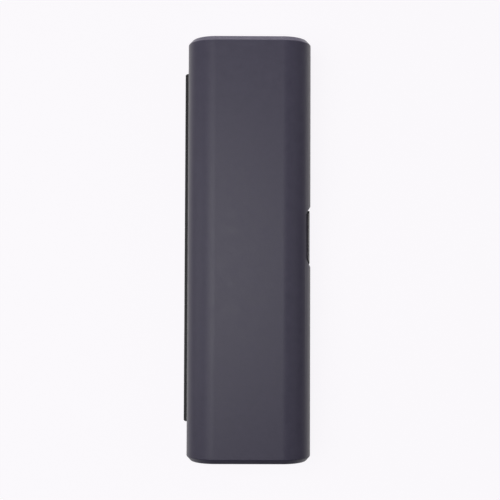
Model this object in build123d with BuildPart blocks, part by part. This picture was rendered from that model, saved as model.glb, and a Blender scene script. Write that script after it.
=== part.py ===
"""Travel case for an electric toothbrush: a hinged box lying on its back, lid up.

X runs across the case from the hinge to the latch, Y along it and Z up. The origin is the
middle of the base's flat bottom. Both halves are an outer shell with an inner liner. The
liners carry the hinge knuckles, and the base carries a sprung push button whose hooks
catch a steel striker in the lid.
"""

import os
from math import atan, degrees, radians, tan

from build123d import *

os.makedirs("parts", exist_ok=True)

# ---- Driving dimensions, in millimetres ----

# Walls and gaps between the shells and their liners
shell_wall = 2.0
liner_wall = 1.6
liner_fit = 0.1
parting_gap = 0.3
corner_radius = 16.5
end_bevel_run = 2.6
end_bevel_inset = 2.4

# Storage: one long round bay for the handle, two short ones for brush heads
handle_bay_radius = 16.0
handle_bay_length = 196.0
head_bay_radius = 9.0
head_bay_length = 80.0
bay_end_radius = 5.0
bay_axis_drop = 1.0
bay_mouth_radius = 0.6
floor_gap = 2.4
hinge_side_gap = 2.0
bay_gap = 2.4
latch_side_gap = 5.6
end_room = 20.0
finger_well_radius = 11.0
finger_well_depth = 11.0
vent_length = 12.0
vent_width = 2.4
vent_pitch = 36.0
vent_count = 5
head_vent_pitch = 24.0

# Rubber rests
rest_thickness = 1.9
rest_length = 16.0
saddle_angle = 116.0
pad_angle = 72.0
rest_fit = 0.05
clip_thickness = 3.2
clip_notch_width = 8.0
clip_notch_depth = 5.0
clip_offset = 12.0
bumper_radius = 1.6
bumper_seat = 0.9
bumper_fit = 0.1
bumper_end_gap = 5.5
bumper_side_offset = 45.0

# Hinge
hinge_length = 200.6
hinge_y = 1.6
hinge_stand_off = 0.2
barrel_radius = 1.8
knuckle_count = 9
knuckle_gap = 0.3
knuckle_bevel = 0.6
pin_radius = 0.8
pin_fit = 0.05
pin_recess = 0.5
notch_clearance = 0.3

# Latch recess and button
latch_y = 7.2
latch_room_gap = 0.3
recess_length = 35.0
recess_depth = 1.3
recess_tilt = 7.5
recess_end_slope = 2.5
button_length = 31.0
button_height = 11.0
button_top_gap = 0.5
button_depth = 3.3
button_end_slope = 1.3
button_edge_radius = 0.3
dish_radius = 70.0
dish_depth = 0.6
window_clearance = 0.3
latch_pad_depth = 4.2
latch_pad_overlap = 2.0
latch_travel = 2.0

# Slider, springs, housing and striker
slider_thickness = 1.5
slider_overlap = 1.2
slide_clearance = 0.3
stop_gap = 0.1
post_radius = 1.4
post_length = 1.4
post_spacing = 12.0
hook_spacing = 19.0
hook_width = 6.0
hook_thickness = 1.8
hook_reach = 1.1
hook_nose_height = 1.6
hook_lead_in = 0.9
hook_gap = 0.2
slot_clearance = 0.4
spring_length = 9.0
spring_spacing = 7.2
spring_radius = 1.9
spring_wire_radius = 0.3
spring_turns = 6
spring_end_gap = 0.1
spring_post_radius = 1.2
spring_post_length = 2.0
housing_wall = 1.6
housing_rail = 1.4
housing_ear = 6.1
housing_front_gap = 1.5
housing_screw_spacing = 29.0
striker_thickness = 1.2
striker_width = 7.3
striker_ledge_gap = 0.3
striker_screw_spacing = 30.8

# Screws
screw_radius = 1.1
screw_head_radius = 2.0
screw_head_angle = 90.0
liner_screw_length = 8.0
housing_screw_length = 5.0
screw_point = 1.0
screw_fit = 0.05
drive_width = 0.5
drive_depth = 0.5
boss_radius = 2.2
pilot_spare = 0.6
hinge_side_screw_inset = 9.2
middle_screw_gap = 4.0
middle_screw_spacing = 31.0

# ---- Sizes that follow ----

# The case is as wide, long and deep as what lies side by side in it
case_width = (2 * (shell_wall + handle_bay_radius + head_bay_radius + 2 * liner_wall)
              + hinge_side_gap + bay_gap + latch_side_gap)
case_length = handle_bay_length + 2 * (end_room + shell_wall)
base_depth = shell_wall + floor_gap + liner_wall + handle_bay_radius + bay_axis_drop
lid_depth = shell_wall + floor_gap + liner_wall + handle_bay_radius - bay_axis_drop
case_height = base_depth + lid_depth

half_width = case_width / 2
half_length = case_length / 2
inner_half_width = half_width - shell_wall
inner_half_length = half_length - shell_wall
lid_rim_z = base_depth + parting_gap
parting_z = base_depth + parting_gap / 2
base_flange_z = base_depth - liner_wall
lid_flange_z = lid_rim_z + liner_wall

bay_axis_z = base_depth - bay_axis_drop
handle_bay_x = -(inner_half_width - hinge_side_gap - liner_wall - handle_bay_radius)
head_bay_x = inner_half_width - latch_side_gap - liner_wall - head_bay_radius
finger_well_x = handle_bay_x + handle_bay_radius + liner_wall
vent_places = [(i - (vent_count - 1) / 2) * vent_pitch - vent_pitch / 6 for i in range(vent_count)]
saddle_places = [vent_places[0] + vent_pitch / 2, vent_places[-2] + vent_pitch / 2]

hinge_x = -(half_width + hinge_stand_off)
knuckle_pitch = (hinge_length + knuckle_gap) / knuckle_count
knuckle_starts = [hinge_y - hinge_length / 2 + i * knuckle_pitch for i in range(knuckle_count)]
knuckle_length = knuckle_pitch - knuckle_gap
notch_reach = barrel_radius + notch_clearance

button_top_z = base_depth - button_top_gap
button_bottom_z = button_top_z - button_height
button_back_x = half_width - button_depth
window_length = button_length + 2 * window_clearance
latch_pad_x = half_width - latch_pad_depth
latch_pad_length = recess_length + 2 * latch_pad_overlap
slider_front_x = latch_pad_x - stop_gap
slider_back_x = slider_front_x - slider_thickness
slider_length = window_length + 2 * slider_overlap
slider_bottom_z = button_bottom_z - slider_overlap
slider_top_z = base_flange_z - slide_clearance
button_relief_x = button_back_x - latch_travel - slide_clearance
hook_places = [latch_y - hook_spacing / 2, latch_y + hook_spacing / 2]
hook_back_x = slider_back_x - hook_thickness
slot_start_x = hook_back_x - latch_travel - slot_clearance
slot_width = hook_width + 2 * slot_clearance
striker_ledge_x = slider_back_x + striker_ledge_gap
striker_edge_x = latch_pad_x - stop_gap
striker_top_z = lid_flange_z + striker_thickness
hook_nose_z = striker_top_z + hook_gap
hook_top_z = hook_nose_z + hook_nose_height
spring_seat_x = slider_back_x - spring_length
spring_places = [latch_y - spring_spacing / 2, latch_y + spring_spacing / 2]
spring_z = (slider_bottom_z + slider_top_z) / 2
housing_floor_z = slider_bottom_z - slide_clearance
housing_bottom_z = housing_floor_z - housing_wall
housing_wall_x = spring_seat_x - housing_wall
housing_back_x = housing_wall_x - housing_ear
housing_front_x = latch_pad_x - housing_front_gap
housing_inner_length = slider_length + 2 * slide_clearance
housing_length = housing_inner_length + 2 * housing_rail
head_bay_offset = housing_length / 2 + latch_room_gap + liner_wall + head_bay_length / 2
head_bay_places = [latch_y - head_bay_offset, latch_y + head_bay_offset]
housing_screw_x = (housing_back_x + housing_wall_x) / 2
housing_screw_places = [
    (housing_screw_x, latch_y - housing_screw_spacing / 2),
    (housing_screw_x, latch_y + housing_screw_spacing / 2),
]

end_screw_y = inner_half_length - (end_room - liner_wall) / 2
latch_strip_x = inner_half_width - latch_side_gap / 2
middle_screw_x = handle_bay_x + handle_bay_radius + liner_wall + middle_screw_gap
liner_screw_places = [
    (-(inner_half_width - hinge_side_screw_inset), -end_screw_y),
    (-(inner_half_width - hinge_side_screw_inset), end_screw_y),
    (latch_strip_x, -end_screw_y),
    (latch_strip_x, end_screw_y),
    (middle_screw_x, latch_y - middle_screw_spacing / 2),
    (middle_screw_x, latch_y + middle_screw_spacing / 2),
]
striker_screw_x = (slot_start_x + striker_ledge_x) / 2
striker_screw_places = [
    (striker_screw_x, latch_y - striker_screw_spacing / 2),
    (striker_screw_x, latch_y + striker_screw_spacing / 2),
]
bumper_places = [
    (handle_bay_x / 3, -(inner_half_length - bumper_end_gap)),
    (handle_bay_x / 3, inner_half_length - bumper_end_gap),
    (latch_strip_x, latch_y - bumper_side_offset),
    (latch_strip_x, latch_y + bumper_side_offset),
]


# ---- Construction solids shared by several pieces ----

def rounded_bar(inset):
    """The closed case shrunk evenly by inset: a round-cornered bar with bevelled ends."""
    with BuildPart() as bar:
        with BuildSketch(Plane.XZ):
            with Locations((0, case_height / 2)):
                RectangleRounded(
                    case_width - 2 * inset, case_height - 2 * inset, corner_radius - inset)
        extrude(amount=half_length - inset - end_bevel_run, both=True)
        ends = bar.faces().filter_by(Axis.Y).sort_by(Axis.Y)
        bevel_angle = degrees(atan(end_bevel_inset / end_bevel_run))
        extrude(ends[0], amount=end_bevel_run, taper=bevel_angle)
        extrude(ends[-1], amount=end_bevel_run, taper=bevel_angle)
    return bar.part


def round_bay(x, y, radius, length, end_radius):
    """A round storage space along Y, with its ends rounded over."""
    with BuildPart() as bay:
        with BuildSketch(Plane.XZ.offset(-y)):
            with Locations((x, bay_axis_z)):
                Circle(radius)
        extrude(amount=length / 2, both=True)
        fillet(bay.edges().filter_by(GeomType.CIRCLE), end_radius)
    return bay.part


def bay_set(grow):
    """All the storage bays, grown by the thickness of the liner where grow is that wall."""
    bays = [round_bay(handle_bay_x, 0, handle_bay_radius + grow,
                      handle_bay_length + 2 * grow, bay_end_radius + grow)]
    for y in head_bay_places:
        bays.append(round_bay(head_bay_x, y, head_bay_radius + grow,
                              head_bay_length + 2 * grow, bay_end_radius + grow))
    return bays


def box_between(low, high):
    """A plain block from its low corner to its high corner."""
    with BuildPart() as block:
        middle = [(a + b) / 2 for a, b in zip(low, high)]
        with Locations(tuple(middle)):
            Box(*[b - a for a, b in zip(low, high)])
    return block.part


outside_bar = rounded_bar(0)
inside_bar = rounded_bar(shell_wall)
liner_bar = rounded_bar(shell_wall + liner_fit)
bay_spaces = bay_set(0)
bay_walls = bay_set(liner_wall)

# The latch recess: two facets that lean in away from the parting line, with sloped ends
with BuildPart() as latch_recess:
    facet_x = half_width - recess_depth
    facet_lean = case_height * tan(radians(recess_tilt))
    with BuildSketch(Plane.XZ.offset(-latch_y)):
        with BuildLine():
            Polyline(
                (facet_x, parting_z),
                (facet_x - facet_lean, parting_z + case_height),
                (case_width, parting_z + case_height),
                (case_width, parting_z - case_height),
                (facet_x - facet_lean, parting_z - case_height),
                close=True,
            )
        make_face()
    extrude(amount=recess_length, both=True)
    recess_in_x = half_width - recess_length / 2 / recess_end_slope
    recess_out_half = recess_length / 2 + recess_end_slope * shell_wall
    with BuildSketch(Plane.XY.offset(-case_height)):
        with BuildLine():
            Polyline(
                (recess_in_x, latch_y),
                (half_width + shell_wall, latch_y + recess_out_half),
                (half_width + shell_wall, latch_y - recess_out_half),
                close=True,
            )
        make_face()
    extrude(amount=3 * case_height, mode=Mode.INTERSECT)

# The slot along the hinge side that the barrel lies in
hinge_notch = box_between(
    (-case_width, hinge_y - hinge_length / 2 - notch_clearance, parting_z - notch_reach),
    (-(inner_half_width - liner_fit), hinge_y + hinge_length / 2 + notch_clearance,
     parting_z + notch_reach),
)

# The finger well beside the handle bay
finger_well_z = base_depth - finger_well_depth
with BuildPart() as finger_well:
    with BuildSketch(Plane.XY.offset(finger_well_z)):
        with Locations((finger_well_x, latch_y)):
            Circle(finger_well_radius)
    extrude(amount=case_height)
    fillet(finger_well.edges().group_by(Axis.Z)[0], bay_end_radius)
with BuildPart() as finger_well_wall:
    with BuildSketch(Plane.XY.offset(finger_well_z - liner_wall)):
        with Locations((finger_well_x, latch_y)):
            Circle(finger_well_radius + liner_wall)
    extrude(amount=case_height)
    fillet(finger_well_wall.edges().group_by(Axis.Z)[0], bay_end_radius + liner_wall)


def screw(length):
    """One screw, its countersunk head at the origin and its point downwards."""
    head_height = (screw_head_radius - screw_radius) / tan(radians(screw_head_angle / 2))
    with BuildPart() as blank:
        with BuildSketch(Plane.XZ):
            with BuildLine():
                Polyline(
                    (0, 0),
                    (screw_head_radius, 0),
                    (screw_radius, -head_height),
                    (screw_radius, screw_point - length),
                    (screw_radius / 2, -length),
                    (0, -length),
                    close=True,
                )
            make_face()
        revolve(axis=Axis.Z)
        with BuildSketch(Plane.XY):
            Rectangle(2 * screw_radius, drive_width)
            Rectangle(drive_width, 2 * screw_radius)
        extrude(amount=-drive_depth, mode=Mode.SUBTRACT)
    return blank.part


liner_screw = screw(liner_screw_length)
housing_screw = screw(housing_screw_length)


def bosses(places, z_from, z_to):
    """Round posts for the screws, long enough to end inside the shell's wall."""
    with BuildPart() as posts:
        with BuildSketch(Plane.XY.offset(z_from)):
            with Locations(*places):
                Circle(boss_radius)
        extrude(amount=z_to - z_from)
    return posts.part


def pilot_holes(places, z, depth):
    """Holes for the screws' shanks, from z up by depth, or down where depth is negative."""
    with BuildPart() as holes:
        with BuildSketch(Plane.XY.offset(z)):
            with Locations(*places):
                Circle(screw_radius + screw_fit)
        extrude(amount=depth)
    return holes.part


liner_pilot_depth = liner_screw_length - liner_wall + pilot_spare
housing_pilot_depth = housing_screw_length - housing_wall + pilot_spare


def knuckles(first):
    """Every other hinge knuckle with its leaf, counted from the first one's number."""
    leaf_side = 1 if first else -1
    leaf_z = parting_z + leaf_side * parting_gap / 2
    with BuildPart() as barrel:
        for start in knuckle_starts[first::2]:
            with BuildSketch(Plane.XZ.offset(-start)):
                with Locations((hinge_x, parting_z)):
                    Circle(barrel_radius)
            extrude(amount=-knuckle_length)
        ends = barrel.edges().filter_by(GeomType.CIRCLE).sort_by(Axis.Y)
        if not first:
            chamfer([ends[0], ends[-1]], knuckle_bevel)
        for start in knuckle_starts[first::2]:
            add(box_between(
                (hinge_x, start, min(leaf_z, leaf_z + leaf_side * liner_wall)),
                (-(inner_half_width - 2 * liner_fit), start + knuckle_length,
                 max(leaf_z, leaf_z + leaf_side * liner_wall)),
            ))
    return barrel.part


# The bore that the pin runs in, from end to end of the hinge
with BuildPart() as pin_bore:
    with BuildSketch(Plane.XZ.offset(hinge_length)):
        with Locations((hinge_x, parting_z)):
            Circle(pin_radius + pin_fit)
    extrude(amount=-2 * hinge_length)


def hook_slots(x_from, x_to, width):
    """The two slots that the latch hooks stand through."""
    with BuildPart() as slots:
        with BuildSketch(Plane.XY):
            with Locations(*[((x_from + x_to) / 2, y) for y in hook_places]):
                Rectangle(x_to - x_from, width)
        extrude(amount=case_height)
    return slots.part


# ---- Base ----

latch_window = box_between(
    (0, latch_y - window_length / 2, button_bottom_z - window_clearance),
    (case_width, latch_y + window_length / 2, case_height),
)

with BuildPart() as base_shell:
    add(bosses(liner_screw_places, shell_wall / 2, base_flange_z))
    add(bosses(housing_screw_places, shell_wall / 2, housing_bottom_z))
    add(box_between(
        (latch_pad_x, latch_y - latch_pad_length / 2, shell_wall / 2),
        (half_width, latch_y + latch_pad_length / 2, base_depth),
    ))
    add(outside_bar, mode=Mode.INTERSECT)
    add(outside_bar - inside_bar)
    split(bisect_by=Plane.XY.offset(base_depth), keep=Keep.BOTTOM)
    add(latch_recess.part, mode=Mode.SUBTRACT)
    add(latch_window, mode=Mode.SUBTRACT)
    add(hinge_notch, mode=Mode.SUBTRACT)
    add(pilot_holes(liner_screw_places, base_flange_z, -liner_pilot_depth), mode=Mode.SUBTRACT)
    add(pilot_holes(housing_screw_places, housing_bottom_z, -housing_pilot_depth),
        mode=Mode.SUBTRACT)
base_shell.part.label = "base_shell"
export_step(base_shell.part, "parts/base_shell.step")

with BuildPart() as base_tray:
    add(box_between((-case_width, -case_length, base_flange_z),
                    (case_width, case_length, base_depth)))
    for wall in bay_walls:
        add(wall)
    add(finger_well_wall.part)
    add(liner_bar, mode=Mode.INTERSECT)
    split(bisect_by=Plane.XY.offset(base_depth), keep=Keep.BOTTOM)
    for space in bay_spaces:
        add(space, mode=Mode.SUBTRACT)
    add(finger_well.part, mode=Mode.SUBTRACT)
    mouth = base_tray.faces().filter_by(Axis.Z).group_by(Axis.Z)[-1].sort_by(SortBy.AREA)[-1]
    fillet(mouth.inner_wires().edges(), bay_mouth_radius)
    add(box_between(
        (latch_pad_x - liner_fit, latch_y - latch_pad_length / 2 - liner_fit, 0),
        (case_width, latch_y + latch_pad_length / 2 + liner_fit, case_height),
    ), mode=Mode.SUBTRACT)
    add(hook_slots(slot_start_x, button_relief_x + slot_clearance, slot_width), mode=Mode.SUBTRACT)
    add(box_between(
        (button_relief_x, latch_y - window_length / 2, 0),
        (case_width, latch_y + window_length / 2, case_height),
    ), mode=Mode.SUBTRACT)
    with BuildSketch():
        with Locations(*[(handle_bay_x, y) for y in vent_places]):
            SlotOverall(vent_length, vent_width, rotation=90)
        for y in head_bay_places:
            with Locations((head_bay_x, y - head_vent_pitch), (head_bay_x, y + head_vent_pitch)):
                SlotOverall(vent_length, vent_width, rotation=90)
    extrude(amount=bay_axis_z - head_bay_radius / 2, mode=Mode.SUBTRACT)
    with Locations(*[(x, y, base_depth) for x, y in liner_screw_places]):
        CounterSinkHole(screw_radius + screw_fit, screw_head_radius + screw_fit, 2 * liner_wall,
                        screw_head_angle)
    with BuildSketch(Plane.XY.offset(base_depth)):
        with Locations(*bumper_places):
            Circle(bumper_radius + bumper_fit)
    extrude(amount=-bumper_seat, mode=Mode.SUBTRACT)
    add(knuckles(0))
    add(pin_bore.part, mode=Mode.SUBTRACT)
base_tray.part.label = "base_tray"
export_step(base_tray.part, "parts/base_tray.step")

with BuildPart() as hinge_pin:
    pin_length = hinge_length - 2 * pin_recess
    with BuildSketch(Plane.XZ.offset(pin_length / 2 - hinge_y)):
        with Locations((hinge_x, parting_z)):
            Circle(pin_radius)
    extrude(amount=-pin_length)
    chamfer(hinge_pin.edges().filter_by(GeomType.CIRCLE), pin_radius / 4)
hinge_pin.part.label = "hinge_pin"
export_step(hinge_pin.part, "parts/hinge_pin.step")


def curved_rest(y, angle, middle_angle):
    """A rubber strip lining part of the handle bay, centred on the angle given."""
    outer = handle_bay_radius - rest_fit
    with BuildPart() as strip:
        with BuildSketch(Plane.XZ.offset(rest_length / 2 - y)):
            with Locations((handle_bay_x, bay_axis_z)):
                Circle(outer)
                Circle(outer - rest_thickness, mode=Mode.SUBTRACT)
                with Locations(Rotation(0, 0, middle_angle)):
                    reach = 2 * outer
                    half_span = reach * tan(radians(angle / 2))
                    Polygon((0, 0), (reach, half_span), (reach, -half_span), align=None,
                            mode=Mode.INTERSECT)
        extrude(amount=-rest_length)
        inner_edges = strip.edges().filter_by(GeomType.CIRCLE).sort_by(SortBy.LENGTH)[:2]
        fillet(inner_edges, rest_thickness / 3)
    return strip.part


with BuildPart() as handle_saddle_lower:
    add(curved_rest(saddle_places[0], saddle_angle, -90))
handle_saddle_lower.part.label = "handle_saddle_lower"
export_step(handle_saddle_lower.part, "parts/handle_saddle_lower.step")

with BuildPart() as handle_saddle_upper:
    add(curved_rest(saddle_places[1], saddle_angle, -90))
handle_saddle_upper.part.label = "handle_saddle_upper"
export_step(handle_saddle_upper.part, "parts/handle_saddle_upper.step")

clip_places = [head_bay_places[0] - clip_offset, head_bay_places[1] + clip_offset]


def bay_disc(y):
    """A slice across a head bay, as thick as a neck clip."""
    with BuildPart() as disc:
        with BuildSketch(Plane.XZ.offset(clip_thickness / 2 - y)):
            with Locations((head_bay_x, bay_axis_z)):
                Circle(head_bay_radius - rest_fit)
        extrude(amount=-clip_thickness)
    return disc.part


bay_discs = [bay_disc(y) for y in clip_places]

# Walls across the head bays, each with a notch that a brush head's neck is pressed into
with BuildPart() as head_clips:
    for disc in bay_discs:
        add(disc)
    split(bisect_by=Plane.XY.offset(base_depth - bay_mouth_radius), keep=Keep.BOTTOM)
    with BuildSketch(Plane.XZ.offset(-case_length)):
        with Locations((head_bay_x, base_depth - clip_notch_depth)):
            Circle(clip_notch_width / 2)
            Rectangle(clip_notch_width * 3 / 4, case_height, align=(Align.CENTER, Align.MIN))
    extrude(amount=2 * case_length, mode=Mode.SUBTRACT)
head_clips.part.label = "head_clips"
export_step(head_clips.part, "parts/head_clips.step")

with BuildPart() as lid_bumpers:
    with BuildSketch(Plane.XY.offset(base_depth - bumper_seat)):
        with Locations(*bumper_places):
            Circle(bumper_radius)
    extrude(amount=bumper_seat + parting_gap)
    top_edges = lid_bumpers.edges().filter_by(GeomType.CIRCLE).group_by(Axis.Z)[-1]
    fillet(top_edges, parting_gap)
lid_bumpers.part.label = "lid_bumpers"
export_step(lid_bumpers.part, "parts/lid_bumpers.step")

with BuildPart() as base_tray_screws:
    with Locations(*[(x, y, base_depth) for x, y in liner_screw_places]):
        add(liner_screw)
base_tray_screws.part.label = "base_tray_screws"
export_step(base_tray_screws.part, "parts/base_tray_screws.step")

with BuildPart() as latch_housing:
    add(box_between(
        (housing_back_x, latch_y - housing_length / 2, housing_bottom_z),
        (housing_front_x, latch_y + housing_length / 2, housing_floor_z),
    ))
    fillet(latch_housing.edges().filter_by(Axis.Z).group_by(Axis.X)[0], boss_radius)
    add(box_between(
        (housing_wall_x, latch_y - housing_length / 2, housing_bottom_z),
        (spring_seat_x, latch_y + housing_length / 2, slider_top_z),
    ))
    for side in (-1, 1):
        rail_in = latch_y + side * housing_inner_length / 2
        rail_out = latch_y + side * housing_length / 2
        add(box_between(
            (housing_wall_x, min(rail_in, rail_out), housing_bottom_z),
            (housing_front_x, max(rail_in, rail_out), slider_top_z),
        ))
    with BuildSketch(Plane.YZ.offset(spring_seat_x)):
        with Locations(*[(y, spring_z) for y in spring_places]):
            Circle(spring_post_radius)
    extrude(amount=spring_post_length)
    with Locations(*[(x, y, housing_floor_z) for x, y in housing_screw_places]):
        CounterSinkHole(screw_radius + screw_fit, screw_head_radius + screw_fit, 2 * housing_wall,
                        screw_head_angle)
latch_housing.part.label = "latch_housing"
export_step(latch_housing.part, "parts/latch_housing.step")

with BuildPart() as latch_housing_screws:
    with Locations(*[(x, y, housing_floor_z) for x, y in housing_screw_places]):
        add(housing_screw)
latch_housing_screws.part.label = "latch_housing_screws"
export_step(latch_housing_screws.part, "parts/latch_housing_screws.step")


def spring(y):
    """A coil spring along X, between the housing and the slider."""
    wound_length = spring_length - 2 * (spring_end_gap + spring_wire_radius)
    start_x = spring_seat_x + spring_end_gap + spring_wire_radius
    with BuildPart() as coil:
        with BuildLine():
            turns = Helix(wound_length / spring_turns, wound_length, spring_radius,
                          center=(start_x, y, spring_z), direction=(1, 0, 0))
        with BuildSketch(Plane(origin=turns @ 0, z_dir=turns % 0)):
            Circle(spring_wire_radius)
        sweep()
    return coil.part


with BuildPart() as latch_spring_lower:
    add(spring(spring_places[0]))
latch_spring_lower.part.label = "latch_spring_lower"
export_step(latch_spring_lower.part, "parts/latch_spring_lower.step")

with BuildPart() as latch_spring_upper:
    add(spring(spring_places[1]))
latch_spring_upper.part.label = "latch_spring_upper"
export_step(latch_spring_upper.part, "parts/latch_spring_upper.step")

# ---- Lid ----

with BuildPart() as lid_shell:
    add(bosses(liner_screw_places, lid_flange_z, case_height - shell_wall / 2))
    add(bosses(striker_screw_places, striker_top_z, case_height - shell_wall / 2))
    add(box_between(
        (latch_pad_x, latch_y - latch_pad_length / 2, lid_rim_z),
        (half_width, latch_y + latch_pad_length / 2, case_height - shell_wall / 2),
    ))
    add(outside_bar, mode=Mode.INTERSECT)
    add(outside_bar - inside_bar)
    split(bisect_by=Plane.XY.offset(lid_rim_z), keep=Keep.TOP)
    add(latch_recess.part, mode=Mode.SUBTRACT)
    add(hinge_notch, mode=Mode.SUBTRACT)
    add(pilot_holes(liner_screw_places, lid_flange_z, liner_pilot_depth), mode=Mode.SUBTRACT)
    add(pilot_holes(striker_screw_places, lid_flange_z, liner_pilot_depth), mode=Mode.SUBTRACT)
lid_shell.part.label = "lid_shell"
export_step(lid_shell.part, "parts/lid_shell.step")

with BuildPart() as lid_liner:
    add(box_between((-case_width, -case_length, lid_rim_z),
                    (case_width, case_length, lid_flange_z)))
    for wall in bay_walls:
        add(wall)
    add(liner_bar, mode=Mode.INTERSECT)
    split(bisect_by=Plane.XY.offset(lid_rim_z), keep=Keep.TOP)
    for space in bay_spaces:
        add(space, mode=Mode.SUBTRACT)
    mouth = lid_liner.faces().filter_by(Axis.Z).group_by(Axis.Z)[0].sort_by(SortBy.AREA)[-1]
    fillet(mouth.inner_wires().edges(), bay_mouth_radius)
    add(box_between(
        (latch_pad_x - liner_fit, latch_y - latch_pad_length / 2 - liner_fit, 0),
        (case_width, latch_y + latch_pad_length / 2 + liner_fit, case_height),
    ), mode=Mode.SUBTRACT)
    add(hook_slots(slot_start_x - slide_clearance, striker_ledge_x + slide_clearance, slot_width),
        mode=Mode.SUBTRACT)
    screws_here = liner_screw_places + striker_screw_places
    with Locations(*[Location((x, y, lid_rim_z), (180, 0, 0)) for x, y in screws_here]):
        CounterSinkHole(screw_radius + screw_fit, screw_head_radius + screw_fit, 2 * liner_wall,
                        screw_head_angle)
    add(knuckles(1))
    add(pin_bore.part, mode=Mode.SUBTRACT)
lid_liner.part.label = "lid_liner"
export_step(lid_liner.part, "parts/lid_liner.step")

with BuildPart() as lid_liner_screws:
    with Locations(*[Location((x, y, lid_rim_z), (180, 0, 0)) for x, y in liner_screw_places]):
        add(liner_screw)
lid_liner_screws.part.label = "lid_liner_screws"
export_step(lid_liner_screws.part, "parts/lid_liner_screws.step")

with BuildPart() as lid_pad_lower:
    add(curved_rest(saddle_places[0], pad_angle, 90))
lid_pad_lower.part.label = "lid_pad_lower"
export_step(lid_pad_lower.part, "parts/lid_pad_lower.step")

with BuildPart() as lid_pad_upper:
    add(curved_rest(saddle_places[1], pad_angle, 90))
lid_pad_upper.part.label = "lid_pad_upper"
export_step(lid_pad_upper.part, "parts/lid_pad_upper.step")

# The lid's half of the head clips: bars that keep each neck in its notch
with BuildPart() as lid_head_pads:
    for disc in bay_discs:
        add(disc)
    split(bisect_by=Plane.XY.offset(lid_flange_z), keep=Keep.TOP)
lid_head_pads.part.label = "lid_head_pads"
export_step(lid_head_pads.part, "parts/lid_head_pads.step")

with BuildPart() as striker_plate:
    add(box_between(
        (striker_edge_x - striker_width, latch_y - housing_length / 2, lid_flange_z),
        (striker_edge_x, latch_y + housing_length / 2, striker_top_z),
    ))
    fillet(striker_plate.edges().filter_by(Axis.Z), screw_radius)
    add(hook_slots(slot_start_x, striker_ledge_x, slot_width), mode=Mode.SUBTRACT)
    add(pilot_holes(striker_screw_places, lid_flange_z, liner_wall), mode=Mode.SUBTRACT)
striker_plate.part.label = "striker_plate"
export_step(striker_plate.part, "parts/striker_plate.step")

with BuildPart() as striker_screws:
    with Locations(*[Location((x, y, lid_rim_z), (180, 0, 0)) for x, y in striker_screw_places]):
        add(liner_screw)
striker_screws.part.label = "striker_screws"
export_step(striker_screws.part, "parts/striker_screws.step")

# ---- Latch button and slider ----

with BuildPart() as latch_button:
    back_half = button_length / 2 - button_end_slope * button_depth
    with BuildSketch(Plane.XY.offset(button_bottom_z)):
        with BuildLine():
            Polyline(
                (half_width, latch_y - button_length / 2),
                (half_width, latch_y + button_length / 2),
                (button_back_x, latch_y + back_half),
                (button_back_x, latch_y - back_half),
                close=True,
            )
        make_face()
    extrude(amount=button_height)
    with Locations((half_width + dish_radius - dish_depth, latch_y,
                    (button_bottom_z + button_top_z) / 2)):
        Sphere(dish_radius, mode=Mode.SUBTRACT)
    fillet(latch_button.edges().filter_by(Axis.Z).group_by(Axis.X)[-1], button_edge_radius)
    with BuildSketch(Plane.YZ.offset(button_back_x)):
        with Locations(*[(latch_y + side * post_spacing / 2, spring_z) for side in (-1, 1)]):
            Circle(post_radius + pin_fit)
    extrude(amount=post_length + stop_gap, mode=Mode.SUBTRACT)
latch_button.part.label = "latch_button"
export_step(latch_button.part, "parts/latch_button.step")

with BuildPart() as latch_slider:
    add(box_between(
        (slider_back_x, latch_y - slider_length / 2, slider_bottom_z),
        (slider_front_x, latch_y + slider_length / 2, slider_top_z),
    ))
    add(box_between(
        (slider_front_x, latch_y - back_half + button_edge_radius, button_bottom_z + button_edge_radius),
        (button_back_x, latch_y + back_half - button_edge_radius, slider_top_z),
    ))
    for y in hook_places:
        with BuildSketch(Plane.XZ.offset(hook_width / 2 - y)):
            with BuildLine():
                Polyline(
                    (hook_back_x, slider_bottom_z),
                    (slider_back_x, slider_bottom_z),
                    (slider_back_x, hook_nose_z),
                    (slider_back_x + hook_reach, hook_nose_z),
                    (slider_back_x + hook_reach, hook_top_z - hook_lead_in),
                    (slider_back_x + hook_reach - hook_lead_in, hook_top_z),
                    (hook_back_x, hook_top_z),
                    close=True,
                )
            make_face()
        extrude(amount=-hook_width)
    with BuildSketch(Plane.YZ.offset(button_back_x)):
        with Locations(*[(latch_y + side * post_spacing / 2, spring_z) for side in (-1, 1)]):
            Circle(post_radius)
    extrude(amount=post_length)
    with BuildSketch(Plane.YZ.offset(slider_back_x)):
        with Locations(*[(y, spring_z) for y in spring_places]):
            Circle(spring_post_radius)
    extrude(amount=-spring_post_length)
latch_slider.part.label = "latch_slider"
export_step(latch_slider.part, "parts/latch_slider.step")
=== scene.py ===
"""Looks of the electric toothbrush travel case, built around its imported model.

Everything is in metres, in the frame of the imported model: X runs from the hinge to the
latch, Y along the case and Z up. The two outer shells, the push button, the springs and
the screws are built here as fine meshes in the place of their plain solids, and thin
washers are added between the hinge's knuckles. The other solids stay as they are and get
their finish here.
"""

from __future__ import annotations

import logging
import math
from dataclasses import dataclass, field
from enum import Enum
from typing import Any, Callable, Mapping, Sequence

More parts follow.
